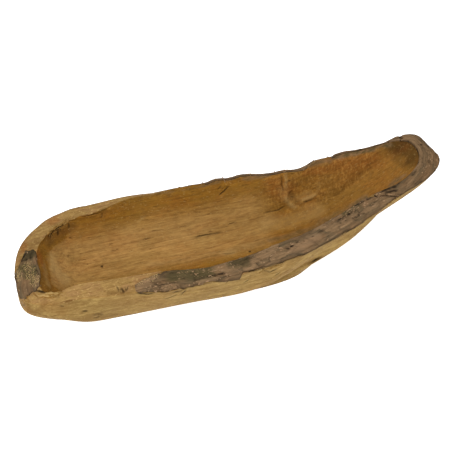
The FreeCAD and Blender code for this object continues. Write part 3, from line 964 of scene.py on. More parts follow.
def crust_piece(plate, step=1.5, rows=22):
    columns = int(plate.length / step)
    s = eased(rows, 0.7)[:, None]
    even = np.linspace(0, 1, columns + 1)
    t = np.tile(even, (rows, 1))
    for k, (run, joined) in enumerate(zip((even, 1 - even), plate.slant)):
        jag = rough(np.stack([s * 40, s * 0, s * 0], -1), 12, plate.seed + 2 + k)[:, 0] * 4.0
        gap = 0.9 * (1 - 2 * k)
        shift = split_line(s[:, 0]) + gap if joined else jag
        t += np.outer(shift, np.exp(-run * plate.length / (62 if joined else 16))) / plate.length
    shares = plate.start + t * plate.span
    start = closed_spline(brim_inner, STATIONS, shares.ravel()).reshape(*t.shape, 3) + table_shift
    start[..., 2] += rim_lift(shares)
    ahead = closed_spline(brim_inner, STATIONS, shares.ravel() + nudge).reshape(*t.shape, 3) + table_shift - start
    across = closed_spline(brim_outer, STATIONS, shares.ravel()).reshape(*t.shape, 3) + table_shift - start
    across[..., 2] += rim_lift(shares)
    width = np.linalg.norm(across, axis=-1)
    w_in, w_out = plate.borders(np.clip(t, 0, 1))
    w = w_in + (w_out - w_in) * s
    face = start + across * w[..., None]
    depth = plate.depth(np.clip(t, 0, 1)) + 1e-3
    fullness = depth / CRUST_THICKNESS
    from_side = np.minimum(s, 1 - s) * (w_out - w_in) * width
    from_end = np.minimum(even, 1 - even) * plate.length
    place = np.stack([shares * brim_walk, w * width,
                      np.full(w.shape, plate.seed * 7.0)], axis=-1)
    bent = place + np.stack([rough(place, (18, 8, 9), plate.seed + 20) * 7, rough(place, (16, 7, 9), plate.seed + 21) * 2.5,
                             np.zeros(w.shape)], axis=-1)
    chip, border = chipped(bent, (34, 8.5), plate.seed)
    crackled = border * smooth(rough(place, (50, 20, 9), plate.seed + 22) * 2.5 + 0.2)
    layers = rough(place, (60, 14, 9), plate.seed, 3) * 2.4
    layers = np.floor(layers) + smooth((layers - np.floor(layers)) * 2.2 - 0.6)
    ridges = rough(place, (34, 4.2, 5), plate.seed + 5, 3)
    pits = smooth(lattice_noise(place, (6, 3.2, 5), plate.seed + 9) * 3 - 2.0)
    grains = rough(place, 3.0, plate.seed + 11, 2)
    crown = 1.2 * (1 - (2 * s - 1)**2)
    edge_fall = (1 - smooth(from_side / 2.2)) * 0.35 + (1 - smooth(from_end / 2.5)) * 0.5
    height = (crown + 0.6 * layers + 0.75 * ridges + 0.6 * chip + 0.25 * grains - 0.45 * crackled - 0.6 * pits) * fullness
    height -= edge_fall * depth
    over_edge = (np.maximum(w - 1.0, 0) * width)[..., None] * np.array([0, 0, -0.8])
    top = face + over_edge + height[..., None] * np.array([0, 0, 1.0])
    under = face + over_edge - (depth + 0.25)[..., None] * np.array([0, 0, 1.0])
    top[..., 2] = np.maximum(top[..., 2], under[..., 2] + 0.08)
    points = np.concatenate([top, under[::-1]])
    count = columns + 1
    faces = []
    for r in range(2 * rows):
        r2 = (r + 1) % (2 * rows)
        faces += [[r * count + c, r * count + c + 1, r2 * count + c + 1, r2 * count + c]
                  for c in range(columns)]
    for r in range(rows - 1):
        mate, mate2 = 2 * rows - 1 - r, 2 * rows - 2 - r
        faces.append([r * count, (r + 1) * count, mate2 * count, mate * count])
        faces.append([r * count + columns, mate * count + columns,
                      mate2 * count + columns, (r + 1) * count + columns])
    obj = make_object(plate.name.replace("live_edge", "crust"), keep_in_box(points.reshape(-1, 3)), faces)

    cracks = np.zeros(w.shape)
    for pixels, wide in CRUST_CRACKS.values():
        away, along_it = distance_to_path(top, spots(pixels))
        away = away + 1.2 * lattice_noise(top, 6, 26) + 0.6 * lattice_noise(top, 2.5, 27)
        cracks = np.maximum(cracks, smooth(1.4 - away / wide) * smooth(along_it * 4 + 0.3) * smooth((1 - along_it) * 4 + 0.3))

    def both(field, below=1.0):
        return np.concatenate([field, field[::-1] * below]).reshape(-1, *field.shape[2:])

    paint(obj,
          grain=both(place), olive=both(patches(top, OLIVE_PATCHES)), chip=both(0.5 + 0.5 * chip),
          pale=both(np.maximum(smooth(ridges * 2.2 - 0.9), patches(top, RUBBED_PATCHES))),
          # dark: cracks, stains and pits, together with painted shade at the plate's ends and borders
          dark=both(np.clip(0.85 * cracks + 0.4 * patches(top, CRUST_STAINS, 4.0) + 0.7 * pits + 0.28 * crackled + 0.6 * (1 - smooth(from_end / 2.5)) * np.ones(w.shape)
                            + 0.35 * (1 - smooth(from_side / 1.4)), 0, 1)),
          run=both(ahead / np.linalg.norm(ahead, axis=-1, keepdims=True)),
          flaky=both(patches(top, CHIPPED) + 0.06, 0.0), gritty=both(patches(top, GRITTY, 3.0), 0.0))
    return obj


crusts = {plate.name: crust_piece(plate) for plate in plates}
for name, obj in crusts.items():
    print(obj.name, len(obj.data.polygons), "faces")

# %% [markdown]
# Shader trees get long, so a small helper adds a node, fills its inputs and hands
# back one output.  An input may be a plain value or another node's output.

# %% A helper for node trees
def shade(red, green, blue):
    """A colour given as on a paint card, 0 to 255, as the linear colour a shader takes."""
    def linear(c):
        c = c / 255
        return c / 12.92 if c <= 0.04045 else ((c + 0.055) / 1.055)**2.4
    return (linear(red), linear(green), linear(blue), 1.0)


class Wiring:
    """Short calls for building one node tree."""

    def __init__(self, tree):
        self.tree = tree

    def add(self, kind, inputs, out=0, **settings):
        node = self.tree.nodes.new(kind)
        for name, value in settings.items():
            setattr(node, name, value)
        for name, value in inputs.items():
            socket = node.inputs[name]
            if isinstance(value, bpy.types.NodeSocket):
                self.tree.links.new(value, socket)
            else:
                socket.default_value = value
        return node.outputs[out]

    def sum(self, kind, a, b=0.0, clamp=False):
        return self.add("ShaderNodeMath", {0: a, 1: b}, operation=kind, use_clamp=clamp)

    def mix(self, amount, a, b, blend="MIX"):
        return self.add("ShaderNodeMix", {0: amount, 6: a, 7: b}, out=2, data_type="RGBA",
                        blend_type=blend, clamp_factor=True)

    def step(self, value, low, high, to_low=0.0, to_high=1.0):
        return self.add("ShaderNodeMapRange",
                        {"Value": value, "From Min": low, "From Max": high, "To Min": to_low, "To Max": to_high},
                        interpolation_type="SMOOTHSTEP")

    def known(self, name, out="Fac"):
        return self.add("ShaderNodeAttribute", {}, out=out, attribute_name=name)

    def group(self, tree, inputs, out=0):
        return self.add("ShaderNodeGroup", inputs, out=out, node_tree=tree)


def new_group(name, inputs, outputs):
    """A shader group with named sockets; gives back its tree, wiring, input sockets and output node."""
    tree = bpy.data.node_groups.new(name, "ShaderNodeTree")
    for socket, (kind, value) in inputs.items():
        made = tree.interface.new_socket(name=socket, in_out="INPUT", socket_type=kind)
        if value is not None:
            made.default_value = value
    for socket, kind in outputs.items():
        tree.interface.new_socket(name=socket, in_out="OUTPUT", socket_type=kind)
    entry, leave = tree.nodes.new("NodeGroupInput"), tree.nodes.new("NodeGroupOutput")
    return tree, Wiring(tree), entry.outputs, leave


print("helper ready; a mid brown is", [round(c, 3) for c in shade(140, 100, 60)])

# %% [markdown]
# Growth rings are the figure of wood: cylinders round the pith, cut by whatever
# surface the carver leaves.  Because the ring pattern is worked out in space, it
# shows long lines on the floor and broad loops on the walls by itself.  Each ring
# darkens slowly and ends in a sharp line of late wood.

# %% Growth rings
def growth_rings():
    tree, wire, given, leave = new_group(
        "growth_rings",
        {"Grain": ("NodeSocketVector", None), "Spacing": ("NodeSocketFloat", 6.0),
         "Wander": ("NodeSocketFloat", 9.0)},
        {"Late Wood": "NodeSocketFloat", "Sharp Line": "NodeSocketFloat"})
    stretched = wire.add("ShaderNodeVectorMath", {0: given["Grain"], 1: (0.14, 1.0, 1.0)}, operation="MULTIPLY")
    slow = wire.add("ShaderNodeTexNoise", {"Vector": stretched, "Scale": 1 / 46, "Detail": 2.0, "Roughness": 0.5})
    quick = wire.add("ShaderNodeTexNoise", {"Vector": stretched, "Scale": 1 / 11, "Detail": 2.0, "Roughness": 0.6})
    parts = wire.add("ShaderNodeSeparateXYZ", {"Vector": given["Grain"]})
    sep = parts.node
    PITH_ASIDE, PITH_ABOVE = 150.0, 120.0
    y = wire.sum("SUBTRACT", sep.outputs["Y"], PITH_ASIDE)
    z = wire.sum("SUBTRACT", sep.outputs["Z"], PITH_ABOVE)
    radius = wire.sum("SQRT", wire.sum("ADD", wire.sum("MULTIPLY", y, y), wire.sum("MULTIPLY", z, z)))
    sway = wire.sum("MULTIPLY", wire.sum("SUBTRACT", slow, 0.5), wire.sum("MULTIPLY", given["Wander"], 5.0))
    tremble = wire.sum("MULTIPLY", wire.sum("SUBTRACT", quick, 0.5), given["Wander"])
    bent = wire.sum("ADD", radius, wire.sum("ADD", sway, tremble))
    ring_share = wire.sum("FRACT", wire.sum("DIVIDE", bent, given["Spacing"]))
    late = wire.sum("MULTIPLY", wire.step(ring_share, 0.1, 0.93), wire.step(ring_share, 1.0, 0.93))
    line = wire.sum("MULTIPLY", wire.step(ring_share, 0.7, 0.93), wire.step(ring_share, 1.0, 0.93))
    tree.links.new(late, leave.inputs["Late Wood"])
    tree.links.new(line, leave.inputs["Sharp Line"])
    return tree


RINGS = growth_rings()
print("rings:", len(RINGS.nodes), "nodes")

# %% [markdown]
# Two more effects serve both finishes.  Fibres are noise stretched far along the
# grain, so that it reads as fine lines.  Blotches are soft patches with a set
# size and sharpness, for stains, dust and the change of colour across a root.

# %% Fibres and blotches
def fibres():
    tree, wire, given, leave = new_group(
        "fibres",
        {"Grain": ("NodeSocketVector", None), "Thickness": ("NodeSocketFloat", 1.2),
         "Stretch": ("NodeSocketFloat", 0.04)},
        {"Lines": "NodeSocketFloat"})
    scale = wire.add("ShaderNodeCombineXYZ", {"X": given["Stretch"], "Y": 1.0, "Z": 1.0})
    stretched = wire.add("ShaderNodeVectorMath", {0: given["Grain"], 1: scale}, operation="MULTIPLY")
    lines = wire.add("ShaderNodeTexNoise",
                     {"Vector": stretched, "Scale": wire.sum("DIVIDE", 1.0, given["Thickness"]),
                      "Detail": 3.0, "Roughness": 0.65})
    tree.links.new(wire.step(lines, 0.3, 0.7), leave.inputs["Lines"])
    return tree


def blotches():
    tree, wire, given, leave = new_group(
        "blotches",
        {"Grain": ("NodeSocketVector", None), "Size": ("NodeSocketFloat", 30.0),
         "Stretch": ("NodeSocketFloat", 0.5), "Cut": ("NodeSocketFloat", 0.5), "Softness": ("NodeSocketFloat", 0.1)},
        {"Mask": "NodeSocketFloat"})
    scale = wire.add("ShaderNodeCombineXYZ", {"X": given["Stretch"], "Y": 1.0, "Z": 1.0})
    stretched = wire.add("ShaderNodeVectorMath", {0: given["Grain"], 1: scale}, operation="MULTIPLY")
    cloud = wire.add("ShaderNodeTexNoise",
                     {"Vector": stretched, "Scale": wire.sum("DIVIDE", 1.0, given["Size"]),
                      "Detail": 4.0, "Roughness": 0.6, "Distortion": 0.4})
    low = wire.sum("SUBTRACT", given["Cut"], given["Softness"])
    high = wire.sum("ADD", given["Cut"], given["Softness"])
    tree.links.new(wire.step(cloud, low, high), leave.inputs["Mask"])
    return tree


FIBRES, BLOTCHES = fibres(), blotches()
print("fibres:", len(FIBRES.nodes), "nodes, blotches:", len(BLOTCHES.nodes), "nodes")

# %% [markdown]
# Oiled root wood is honey brown inside, darker and more golden on the steep walls,
# partly where the oil has soaked into cut grain and partly as painted shade, with a
# floor painted paler as painted light, and paler and yellower outside, where it was
# only planed.  One material does all of it: the shares stored on the points choose
# between the tones, and the rings and fibres lie over them.

# %% The carved wood
# the floor's pale tone and the walls' gold are partly the wood's colour, partly painted light and painted shade
FLOOR_PALE_LIT = shade(180, 138, 79)
WALL_GOLD_SHADED = shade(140, 97, 32)
TIP_BROWN = shade(147, 102, 45)
# painted shade for the deep end of the hollow at the tip
TIP_SHADOW = shade(64, 39, 14)
WALL_STRAW = shade(153, 128, 76)
WALL_OCHRE = shade(142, 112, 66)
BRIM_TAN = shade(151, 121, 71)
BRIM_ROSE = shade(149, 115, 73)
LATE_WOOD = shade(84, 54, 22)
RED_HEART = shade(146, 88, 36)
# brown of stains and streaks, also the painted shade of the brown patches
BROWN_STAIN_AND_SHADE = shade(88, 60, 28)
OLIVE_SHADE = shade(118, 96, 44)
# dark of splits, also used for the painted shade under the crust, in the hollows and along the painted shadow lines
SPLIT_AND_SHADE = shade(36, 24, 12)
# pale of fresh wood, also the painted light of the pale patches
FRESH_AND_LIT = shade(180, 150, 96)
CUT_GOLD = shade(178, 132, 66)


def finish(name, roughness, gloss):
    material = bpy.data.materials.new(name)
    material.use_nodes = True
    shader = material.node_tree.nodes["Principled BSDF"]
    shader.inputs["Roughness"].default_value = roughness
    shader.inputs["Specular IOR Level"].default_value = gloss
    return material, Wiring(material.node_tree), shader


MAUVE = shade(128, 99, 69)
GREY_OLIVE = shade(78, 70, 44)
DEAD_GREY = shade(102, 85, 62)


def carved_wood():
    material, wire, shader = finish("carved_wood", 0.6, 0.02)
    grain = wire.known("grain", "Vector")
    rings = wire.group(RINGS, {"Grain": grain, "Spacing": 9.0, "Wander": 4.0})
    fine_rings = wire.group(RINGS, {"Grain": grain, "Spacing": 3.3, "Wander": 6.0})
    broken = wire.group(BLOTCHES, {"Grain": grain, "Size": 15.0, "Stretch": 0.16, "Cut": 0.5, "Softness": 0.12})
    line = wire.sum("MULTIPLY", rings.node.outputs["Sharp Line"], broken)
    lines = wire.group(FIBRES, {"Grain": grain, "Thickness": 3.0, "Stretch": 0.07})
    fleck = wire.group(BLOTCHES, {"Grain": grain, "Size": 2.3, "Stretch": 0.5, "Cut": 0.63, "Softness": 0.06})
    dashes = wire.group(BLOTCHES, {"Grain": grain, "Size": 2.6, "Stretch": 0.12, "Cut": 0.66, "Softness": 0.05})
    patch = wire.group(BLOTCHES, {"Grain": grain, "Size": 46.0, "Stretch": 0.45, "Cut": 0.5, "Softness": 0.16})
    cloud = wire.group(BLOTCHES, {"Grain": grain, "Size": 17.0, "Stretch": 0.4, "Cut": 0.54, "Softness": 0.12})
    mottle = wire.group(BLOTCHES, {"Grain": grain, "Size": 6.5, "Stretch": 0.6, "Cut": 0.5, "Softness": 0.2})
    tone = wire.mix(wire.known("glow"), WALL_GOLD_SHADED, FLOOR_PALE_LIT)
    tone = wire.mix(wire.sum("MULTIPLY", wire.known("tipward"), 0.75), tone, TIP_BROWN)
    tone = wire.mix(wire.known("tip_end"), tone, TIP_SHADOW)
    tone = wire.mix(wire.sum("MULTIPLY", cloud, 0.28), tone, RED_HEART)
    tone = wire.mix(wire.sum("MULTIPLY", patch, 0.3), tone, OLIVE_SHADE)
    tone = wire.mix(wire.known("outside"), tone,
                    wire.mix(wire.sum("MULTIPLY", patch, 0.6), WALL_STRAW, WALL_OCHRE))
    streaks = wire.group(BLOTCHES, {"Grain": grain, "Size": 11.0, "Stretch": 0.12, "Cut": 0.52, "Softness": 0.1})
    tone = wire.mix(wire.sum("MULTIPLY", wire.sum("MULTIPLY", streaks, wire.known("outside")), 0.3), tone, BROWN_STAIN_AND_SHADE)
    tone = wire.mix(wire.known("brim"), tone, wire.mix(cloud, BRIM_TAN, BRIM_ROSE))
    tone = wire.mix(wire.sum("MULTIPLY", wire.known("amber"), 0.6), tone, RED_HEART)
    tone = wire.mix(wire.sum("MULTIPLY", wire.known("brown"), 0.55), tone, BROWN_STAIN_AND_SHADE)
    figure = wire.sum("ADD", wire.sum("MULTIPLY", rings, 0.05), wire.sum("MULTIPLY", line, 0.16))
    figure = wire.sum("ADD", figure, wire.sum("MULTIPLY", fine_rings, 0.07))
    figure = wire.sum("ADD", figure, wire.sum("MULTIPLY", lines, 0.26))
    figure = wire.sum("ADD", figure, wire.sum("MULTIPLY", dashes, 0.5))
    figure = wire.sum("ADD", figure, wire.sum("MULTIPLY", mottle, 0.24))
    tone = wire.mix(figure, tone, LATE_WOOD)
    fleck_share = wire.sum("ADD", 0.3, wire.sum("MULTIPLY", wire.known("brim"), 0.3))
    tone = wire.mix(wire.sum("MULTIPLY", fleck, fleck_share), tone, FRESH_AND_LIT)
    specks = wire.group(BLOTCHES, {"Grain": grain, "Size": 3.0, "Stretch": 0.45, "Cut": 0.6, "Softness": 0.06})
    specks = wire.sum("MULTIPLY", specks, wire.sum("ADD", wire.known("brim"), wire.known("outside"), clamp=True))
    tone = wire.mix(wire.sum("MULTIPLY", specks, 0.3), tone, LATE_WOOD)
    strokes = wire.group(BLOTCHES, {"Grain": grain, "Size": 7.0, "Stretch": 1.9, "Cut": 0.55, "Softness": 0.07})
    tone = wire.mix(wire.sum("MULTIPLY", wire.sum("MULTIPLY", strokes, wire.known("chatter")), 0.32), tone, CUT_GOLD)
    gouged = wire.group(BLOTCHES, {"Grain": grain, "Size": 6.0, "Stretch": 0.6, "Cut": 0.56, "Softness": 0.06})
    tone = wire.mix(wire.sum("MULTIPLY", wire.sum("MULTIPLY", gouged, wire.known("chatter")), 0.26), tone, LATE_WOOD)
    tone = wire.mix(wire.known("weathered"), tone, wire.mix(mottle, MAUVE, GREY_OLIVE))
    tone = wire.mix(wire.sum("MULTIPLY", wire.known("pale"), 0.5), tone, FRESH_AND_LIT)
    tone = wire.mix(wire.known("dark"), tone, SPLIT_AND_SHADE)
    thin = wire.step(wire.sum("ABSOLUTE", wire.known("line_across")), 1.5, 0.5)
    thin = wire.sum("MULTIPLY", wire.sum("MULTIPLY", thin, wire.known("line_shadow")), wire.step(mottle, 1.6, 0.2))
    tone = wire.mix(thin, tone, SPLIT_AND_SHADE)
    wire.tree.links.new(tone, shader.inputs["Base Color"])
    height = wire.sum("ADD", wire.sum("MULTIPLY", lines, 0.5), wire.sum("MULTIPLY", thin, -2.0))
    height = wire.sum("ADD", height, wire.sum("MULTIPLY", dashes, -0.6))
    bump = wire.add("ShaderNodeBump", {"Strength": 0.7, "Distance": 0.0006, "Height": height})
    wire.tree.links.new(bump, shader.inputs["Normal"])
    return material


# %% [markdown]
# The crust is dead outer wood, silvered by weather: grey-brown with a mauve cast,
# olive where something grew on it, nearly black in its pits and splits, and pale
# on the ridges where it has been rubbed.  Its ends and borders are painted darker
# as shade under their edges.  It has no shine at all.

# %% The weathered crust
# dark of pits and splits, also the painted shade along the plates' edges
PIT_AND_SHADE = shade(30, 22, 15)
RUBBED = shade(158, 126, 94)
DEAD_LICHEN = shade(182, 156, 100)
PINK_GREY = shade(138, 110, 79)


def weathered_crust():
    material, wire, shader = finish("weathered_crust", 0.85, 0.02)
    grain = wire.known("grain", "Vector")
    lines = wire.group(FIBRES, {"Grain": grain, "Thickness": 1.8, "Stretch": 0.08})
    broad = wire.group(FIBRES, {"Grain": grain, "Thickness": 5.0, "Stretch": 0.1})
    grey = wire.group(BLOTCHES, {"Grain": grain, "Size": 14.0, "Stretch": 0.35, "Cut": 0.5, "Softness": 0.14})
    stain = wire.group(BLOTCHES, {"Grain": grain, "Size": 9.0, "Stretch": 0.3, "Cut": 0.62, "Softness": 0.06})
    specks = wire.group(BLOTCHES, {"Grain": grain, "Size": 2.2, "Stretch": 0.6, "Cut": 0.68, "Softness": 0.04})
    tone = wire.mix(grey, MAUVE, DEAD_GREY)
    tone = wire.mix(wire.step(wire.known("chip"), 0.45, 0.95), tone, PINK_GREY)
    tone = wire.mix(wire.sum("MULTIPLY", wire.known("olive"), 0.85), tone, GREY_OLIVE)
    tone = wire.mix(wire.sum("MULTIPLY", broad, 0.3), tone, PIT_AND_SHADE)
    tone = wire.mix(wire.sum("MULTIPLY", lines, 0.3), tone, PIT_AND_SHADE)
    tone = wire.mix(wire.sum("MULTIPLY", stain, 0.5), tone, PIT_AND_SHADE)
    tone = wire.mix(wire.sum("MULTIPLY", wire.known("pale"), 0.75), tone, RUBBED)
    tone = wire.mix(wire.sum("MULTIPLY", specks, 0.5), tone, RUBBED)
    lichen = wire.group(BLOTCHES, {"Grain": grain, "Size": 2.0, "Stretch": 0.9, "Cut": 0.57, "Softness": 0.04})
    lichen = wire.sum("MULTIPLY", wire.sum("MULTIPLY", lichen, wire.known("gritty")), 0.7)
    tone = wire.mix(lichen, tone, DEAD_LICHEN)
    tone = wire.mix(wire.known("dark"), tone, PIT_AND_SHADE)
    tone = wire.mix(wire.step(wire.known("pale"), 1.1, 1.8), tone, DEAD_LICHEN)
    wire.tree.links.new(tone, shader.inputs["Base Color"])
    height = wire.sum("ADD", wire.sum("MULTIPLY", lines, 0.7), wire.sum("MULTIPLY", grey, 0.5))
    bump = wire.add("ShaderNodeBump", {"Strength": 0.6, "Distance": 0.001, "Height": height})
    wire.tree.links.new(bump, shader.inputs["Normal"])
    return material


CARVED, CRUST = carved_wood(), weathered_crust()
carved_bowl.data.materials.append(CARVED)
for obj in crusts.values():
    obj.data.materials.append(CRUST)
print("finishes:", CARVED.name, CRUST.name)

# %% [markdown]
# The bowl stands on a pale floor under soft light from all round, with one large
# lamp above the left shoulder of the camera that gives the carving its shape.

# %% Floor and light
def studio():
    size = 6.0
    mesh = bpy.data.meshes.new("floor")
    corners = [(-size, -size, 0), (size, -size, 0), (size, size, 0), (-size, size, 0)]
    mesh.from_pydata(corners, [], [[0, 1, 2, 3]])
    floor = bpy.data.objects.new("floor", mesh)
    bpy.context.scene.collection.objects.link(floor)
    paper, _, shader = finish("floor_paper", 0.9, 0.1)
    shader.inputs["Base Color"].default_value = (0.9, 0.9, 0.9, 1.0)
    shader.inputs["Emission Color"].default_value = (1.0, 1.0, 1.0, 1.0)
    shader.inputs["Emission Strength"].default_value = 0.8
    mesh.materials.append(paper)
    lamp = bpy.data.lights.new("key_lamp", "AREA")
    lamp.shape = "DISK"
    lamp.size = 1.6
    lamp.energy = 45.0
    key = bpy.data.objects.new("key_lamp", lamp)
    key.location = (-1.5, -1.3, 2.2)
    key.rotation_euler = (Vector((0, 0, 0.05)) - key.location).to_track_quat("-Z", "Y").to_euler()
    bpy.context.scene.collection.objects.link(key)
    world = bpy.data.worlds.new("studio_sky")
    world.use_nodes = True
    world.node_tree.nodes["Background"].inputs["Color"].default_value = (1.0, 1.0, 1.0, 1.0)
    world.node_tree.nodes["Background"].inputs["Strength"].default_value = 1.0
    bpy.context.scene.world = world
    bpy.context.scene.view_settings.view_transform = "Standard"


studio()
print("studio ready")

# %% [markdown]
# Three things lie about in crowds: loose flakes on the crust, splinters where the
# wood broke, and grit with dead lichen.  One Geometry Nodes tree scatters them
# all: it throws points over a mesh, thick where the mesh says so, and sets a small
# piece on each, turned to the run of the root.  Placed by hand they would take a
# day, and a particle system would need a bake.  The tree ends with real geometry
# that carries its own grain, because an export has no instances.

# %% A tree that scatters
def scatter_tree():
    tree = bpy.data.node_groups.new("scatter_along_root", "GeometryNodeTree")
    wanted = {"Geometry": "NodeSocketGeometry", "Piece": "NodeSocketObject", "Density": "NodeSocketFloat",
              "Smallest": "NodeSocketVector", "Largest": "NodeSocketVector", "Tilt": "NodeSocketVector",
              "Paleness": "NodeSocketFloat", "Seed": "NodeSocketInt", "Finish": "NodeSocketMaterial"}
    sockets = {name: tree.interface.new_socket(name=name, in_out="INPUT", socket_type=kind).identifier
               for name, kind in wanted.items()}
    tree.interface.new_socket(name="Geometry", in_out="OUTPUT", socket_type="NodeSocketGeometry")
    wire, given = Wiring(tree), tree.nodes.new("NodeGroupInput").outputs
    leave = tree.nodes.new("NodeGroupOutput")
    share = wire.add("GeometryNodeInputNamedAttribute", {"Name": "share"}, data_type="FLOAT")
    run = wire.add("GeometryNodeInputNamedAttribute", {"Name": "run"}, data_type="FLOAT_VECTOR")
    points = wire.add("GeometryNodeDistributePointsOnFaces",
                      {"Mesh": given["Geometry"], "Density": wire.sum("MULTIPLY", share, given["Density"]),
                       "Seed": given["Seed"]})
    facing = wire.add("FunctionNodeAxesToRotation",
                      {"Primary Axis": points.node.outputs["Normal"], "Secondary Axis": run})
    low = wire.add("ShaderNodeVectorMath", {0: given["Tilt"], 1: (-1.0, -1.0, -1.0)}, operation="MULTIPLY")
    lean = wire.add("FunctionNodeRandomValue", {0: low, 1: given["Tilt"], "Seed": given["Seed"]},
                    data_type="FLOAT_VECTOR")
    turned = wire.add("FunctionNodeRotateRotation",
                      {"Rotation": facing, "Rotate By": wire.add("FunctionNodeEulerToRotation", {"Euler": lean})},
                      rotation_space="LOCAL")
    size = wire.add("FunctionNodeRandomValue", {0: given["Smallest"], 1: given["Largest"], "Seed": 7},
                    data_type="FLOAT_VECTOR")
    piece = wire.add("GeometryNodeObjectInfo", {"Object": given["Piece"], "As Instance": True})
    crowd = wire.add("GeometryNodeInstanceOnPoints",
                     {"Points": points, "Instance": piece.node.outputs["Geometry"], "Rotation": turned, "Scale": size})
    paleness = wire.add("FunctionNodeRandomValue", {2: 0.0, 3: given["Paleness"], "Seed": 3}, out=1,
                        data_type="FLOAT")
    crowd = wire.add("GeometryNodeStoreNamedAttribute", {"Geometry": crowd, "Name": "pale", "Value": paleness},
                     data_type="FLOAT", domain="INSTANCE")
    real = wire.add("GeometryNodeRealizeInstances", {"Geometry": crowd})
    at = wire.add("ShaderNodeVectorMath",
                  {0: wire.add("GeometryNodeInputPosition", {}), 1: (1000.0, 1000.0, 1000.0)}, operation="MULTIPLY")
    real = wire.add("GeometryNodeStoreNamedAttribute", {"Geometry": real, "Name": "grain", "Value": at},
                    data_type="FLOAT_VECTOR", domain="POINT")
    done = wire.add("GeometryNodeSetMaterial", {"Geometry": real, "Material": given["Finish"]})
    tree.links.new(done, leave.inputs["Geometry"])
    return tree, sockets


SCATTER, SCATTER_SOCKETS = scatter_tree()
print("scatter tree:", len(SCATTER.nodes), "nodes")

# %% [markdown]
# The pieces to scatter are tiny and have few faces, since each is used hundreds of
# times.  They are 1 mm long here, so the scale in the tree reads as millimetres.

# %% A flake, a splinter and a grain of grit
def small_piece(name, rings, sides, shape):
    """A closed strip of rings along x; `shape(x, angle)` gives y and z in mm."""
    points, faces = [], []
    for r in range(rings):
        x = r / (rings - 1)
        for k in range(sides):
            y, z = shape(x, 2 * math.pi * k / sides)
            points.append((x - 0.5, y, z))
    for r in range(rings - 1):
        for k in range(sides):
            a, b = r * sides + k, r * sides + (k + 1) % sides
            faces.append([a, a + sides, b + sides, b])
    faces.append([k for k in range(sides)])
    faces.append([(rings - 1) * sides + k for k in reversed(range(sides))])
    return make_object(name, np.array(points), faces)


def flake_shape(x, angle):
    half = 0.5 * math.sin(math.pi * min(1, 0.12 + 0.82 * x)) * (1 + 0.25 * math.sin(9 * x))
    return half * math.cos(angle), 0.12 + 0.14 * math.sin(angle) + 0.25 * x * x


def splinter_shape(x, angle):
    thick = 0.5 * (1 - x)**0.8 + 0.02
    return thick * math.cos(angle), thick * math.sin(angle) + 0.9 * x * x


def grit_shape(x, angle):
    thick = math.sin(math.pi * (0.12 + 0.76 * x)) * 0.5
    return thick * math.cos(angle), thick * math.sin(angle) * 0.8 + 0.2


flake = small_piece("flake", 6, 6, flake_shape)
splinter = small_piece("splinter", 6, 5, splinter_shape)
grit = small_piece("grit", 4, 5, grit_shape)
print("faces:", len(flake.data.polygons), len(splinter.data.polygons), len(grit.data.polygons))

# %% [markdown]
# Each crowd grows on a copy of the mesh it lies on, whose attribute "share" says
# where it is thick.  The modifier's inputs are set by their identifiers, the
# result is read back as a plain mesh, and the modifier goes.

# %% Scattering
def ground_of(objects, attribute):
    """One mesh from copies of several pieces, with `attribute` renamed to share."""
    points, faces, shares, runs = [], [], [], []
    for obj in objects:
        mesh, start = obj.data, sum(len(p) for p in points)
        place = np.empty(len(mesh.vertices) * 3, np.float32)
        mesh.vertices.foreach_get("co", place)
        share = np.empty(len(mesh.vertices), np.float32)
        mesh.attributes[attribute].data.foreach_get("value", share)
        run = np.empty(len(mesh.vertices) * 3, np.float32)
        mesh.attributes["run"].data.foreach_get("vector", run)
        points.append(place.reshape(-1, 3) / MM)
        shares.append(share)
        runs.append(run.reshape(-1, 3))
        faces += [[v + start for v in polygon.vertices] for polygon in mesh.polygons]
    ground = make_object("ground", np.concatenate(points), faces)
    paint(ground, share=np.concatenate(shares), run=np.concatenate(runs))
    return ground


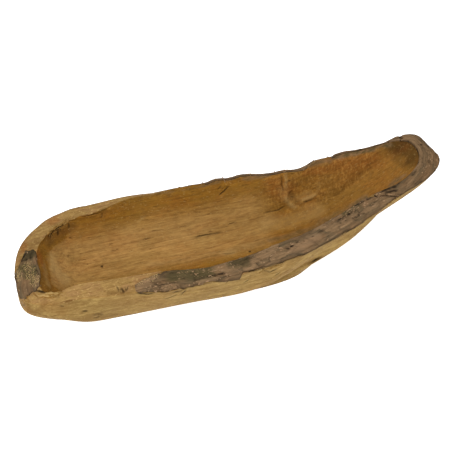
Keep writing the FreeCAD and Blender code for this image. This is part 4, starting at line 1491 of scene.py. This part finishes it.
def scatter(name, ground, **values):
    modifier = ground.modifiers.new("scatter", "NODES")
    modifier.node_group = SCATTER
    for socket, value in values.items():
        modifier[SCATTER_SOCKETS[socket]] = value
    evaluated = ground.evaluated_get(bpy.context.evaluated_depsgraph_get())
    mesh = bpy.data.meshes.new_from_object(evaluated)
    ground.modifiers.remove(modifier)
    bpy.data.objects.remove(ground)
    place = np.empty(len(mesh.vertices) * 3, np.float32)
    mesh.vertices.foreach_get("co", place)
    place = keep_in_box(place.reshape(-1, 3) / MM) * MM
    mesh.vertices.foreach_set("co", place.astype(np.float32).ravel())
    crowd = bpy.data.objects.new(name, mesh)
    bpy.context.scene.collection.objects.link(crowd)
    print(name, len(mesh.polygons), "faces")
    return crowd


all_crust = list(crusts.values())
crust_flakes = scatter("crust_flakes", ground_of(all_crust, "flaky"), Piece=flake, Density=60000.0,
                       Smallest=(4.0, 1.2, 1.2), Largest=(15.0, 4.0, 3.0), Tilt=(0.12, 0.06, 0.35),
                       Paleness=0.9, Seed=4, Finish=CRUST)
lichen_grit = scatter("lichen_grit", ground_of(all_crust, "gritty"), Piece=grit, Density=260000.0,
                      Smallest=(0.8, 0.8, 0.6), Largest=(2.2, 2.0, 1.4), Tilt=(0.5, 0.5, 3.0),
                      Paleness=2.0, Seed=9, Finish=CRUST)
root_splinters = scatter("root_splinters", ground_of([carved_bowl], "splintery"), Piece=splinter, Density=180000.0,
                         Smallest=(4.0, 0.6, 0.6), Largest=(14.0, 1.6, 1.6), Tilt=(0.3, 0.25, 0.35),
                         Paleness=1.0, Seed=2, Finish=CARVED)
for pattern in (flake, splinter, grit):
    bpy.data.objects.remove(pattern)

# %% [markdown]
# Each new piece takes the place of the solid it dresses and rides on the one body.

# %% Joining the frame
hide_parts("bowl_body")
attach(carved_bowl, "root")
for node, obj in crusts.items():
    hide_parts(node)
    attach(obj, "root")
for crowd, slot in ((crust_flakes, "weathered_crust"), (lichen_grit, "weathered_crust"),
                    (root_splinters, "carved_wood")):
    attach(crowd, "root")
print("model box:", [round(c, 4) for c in (*cad_low, *cad_high)])
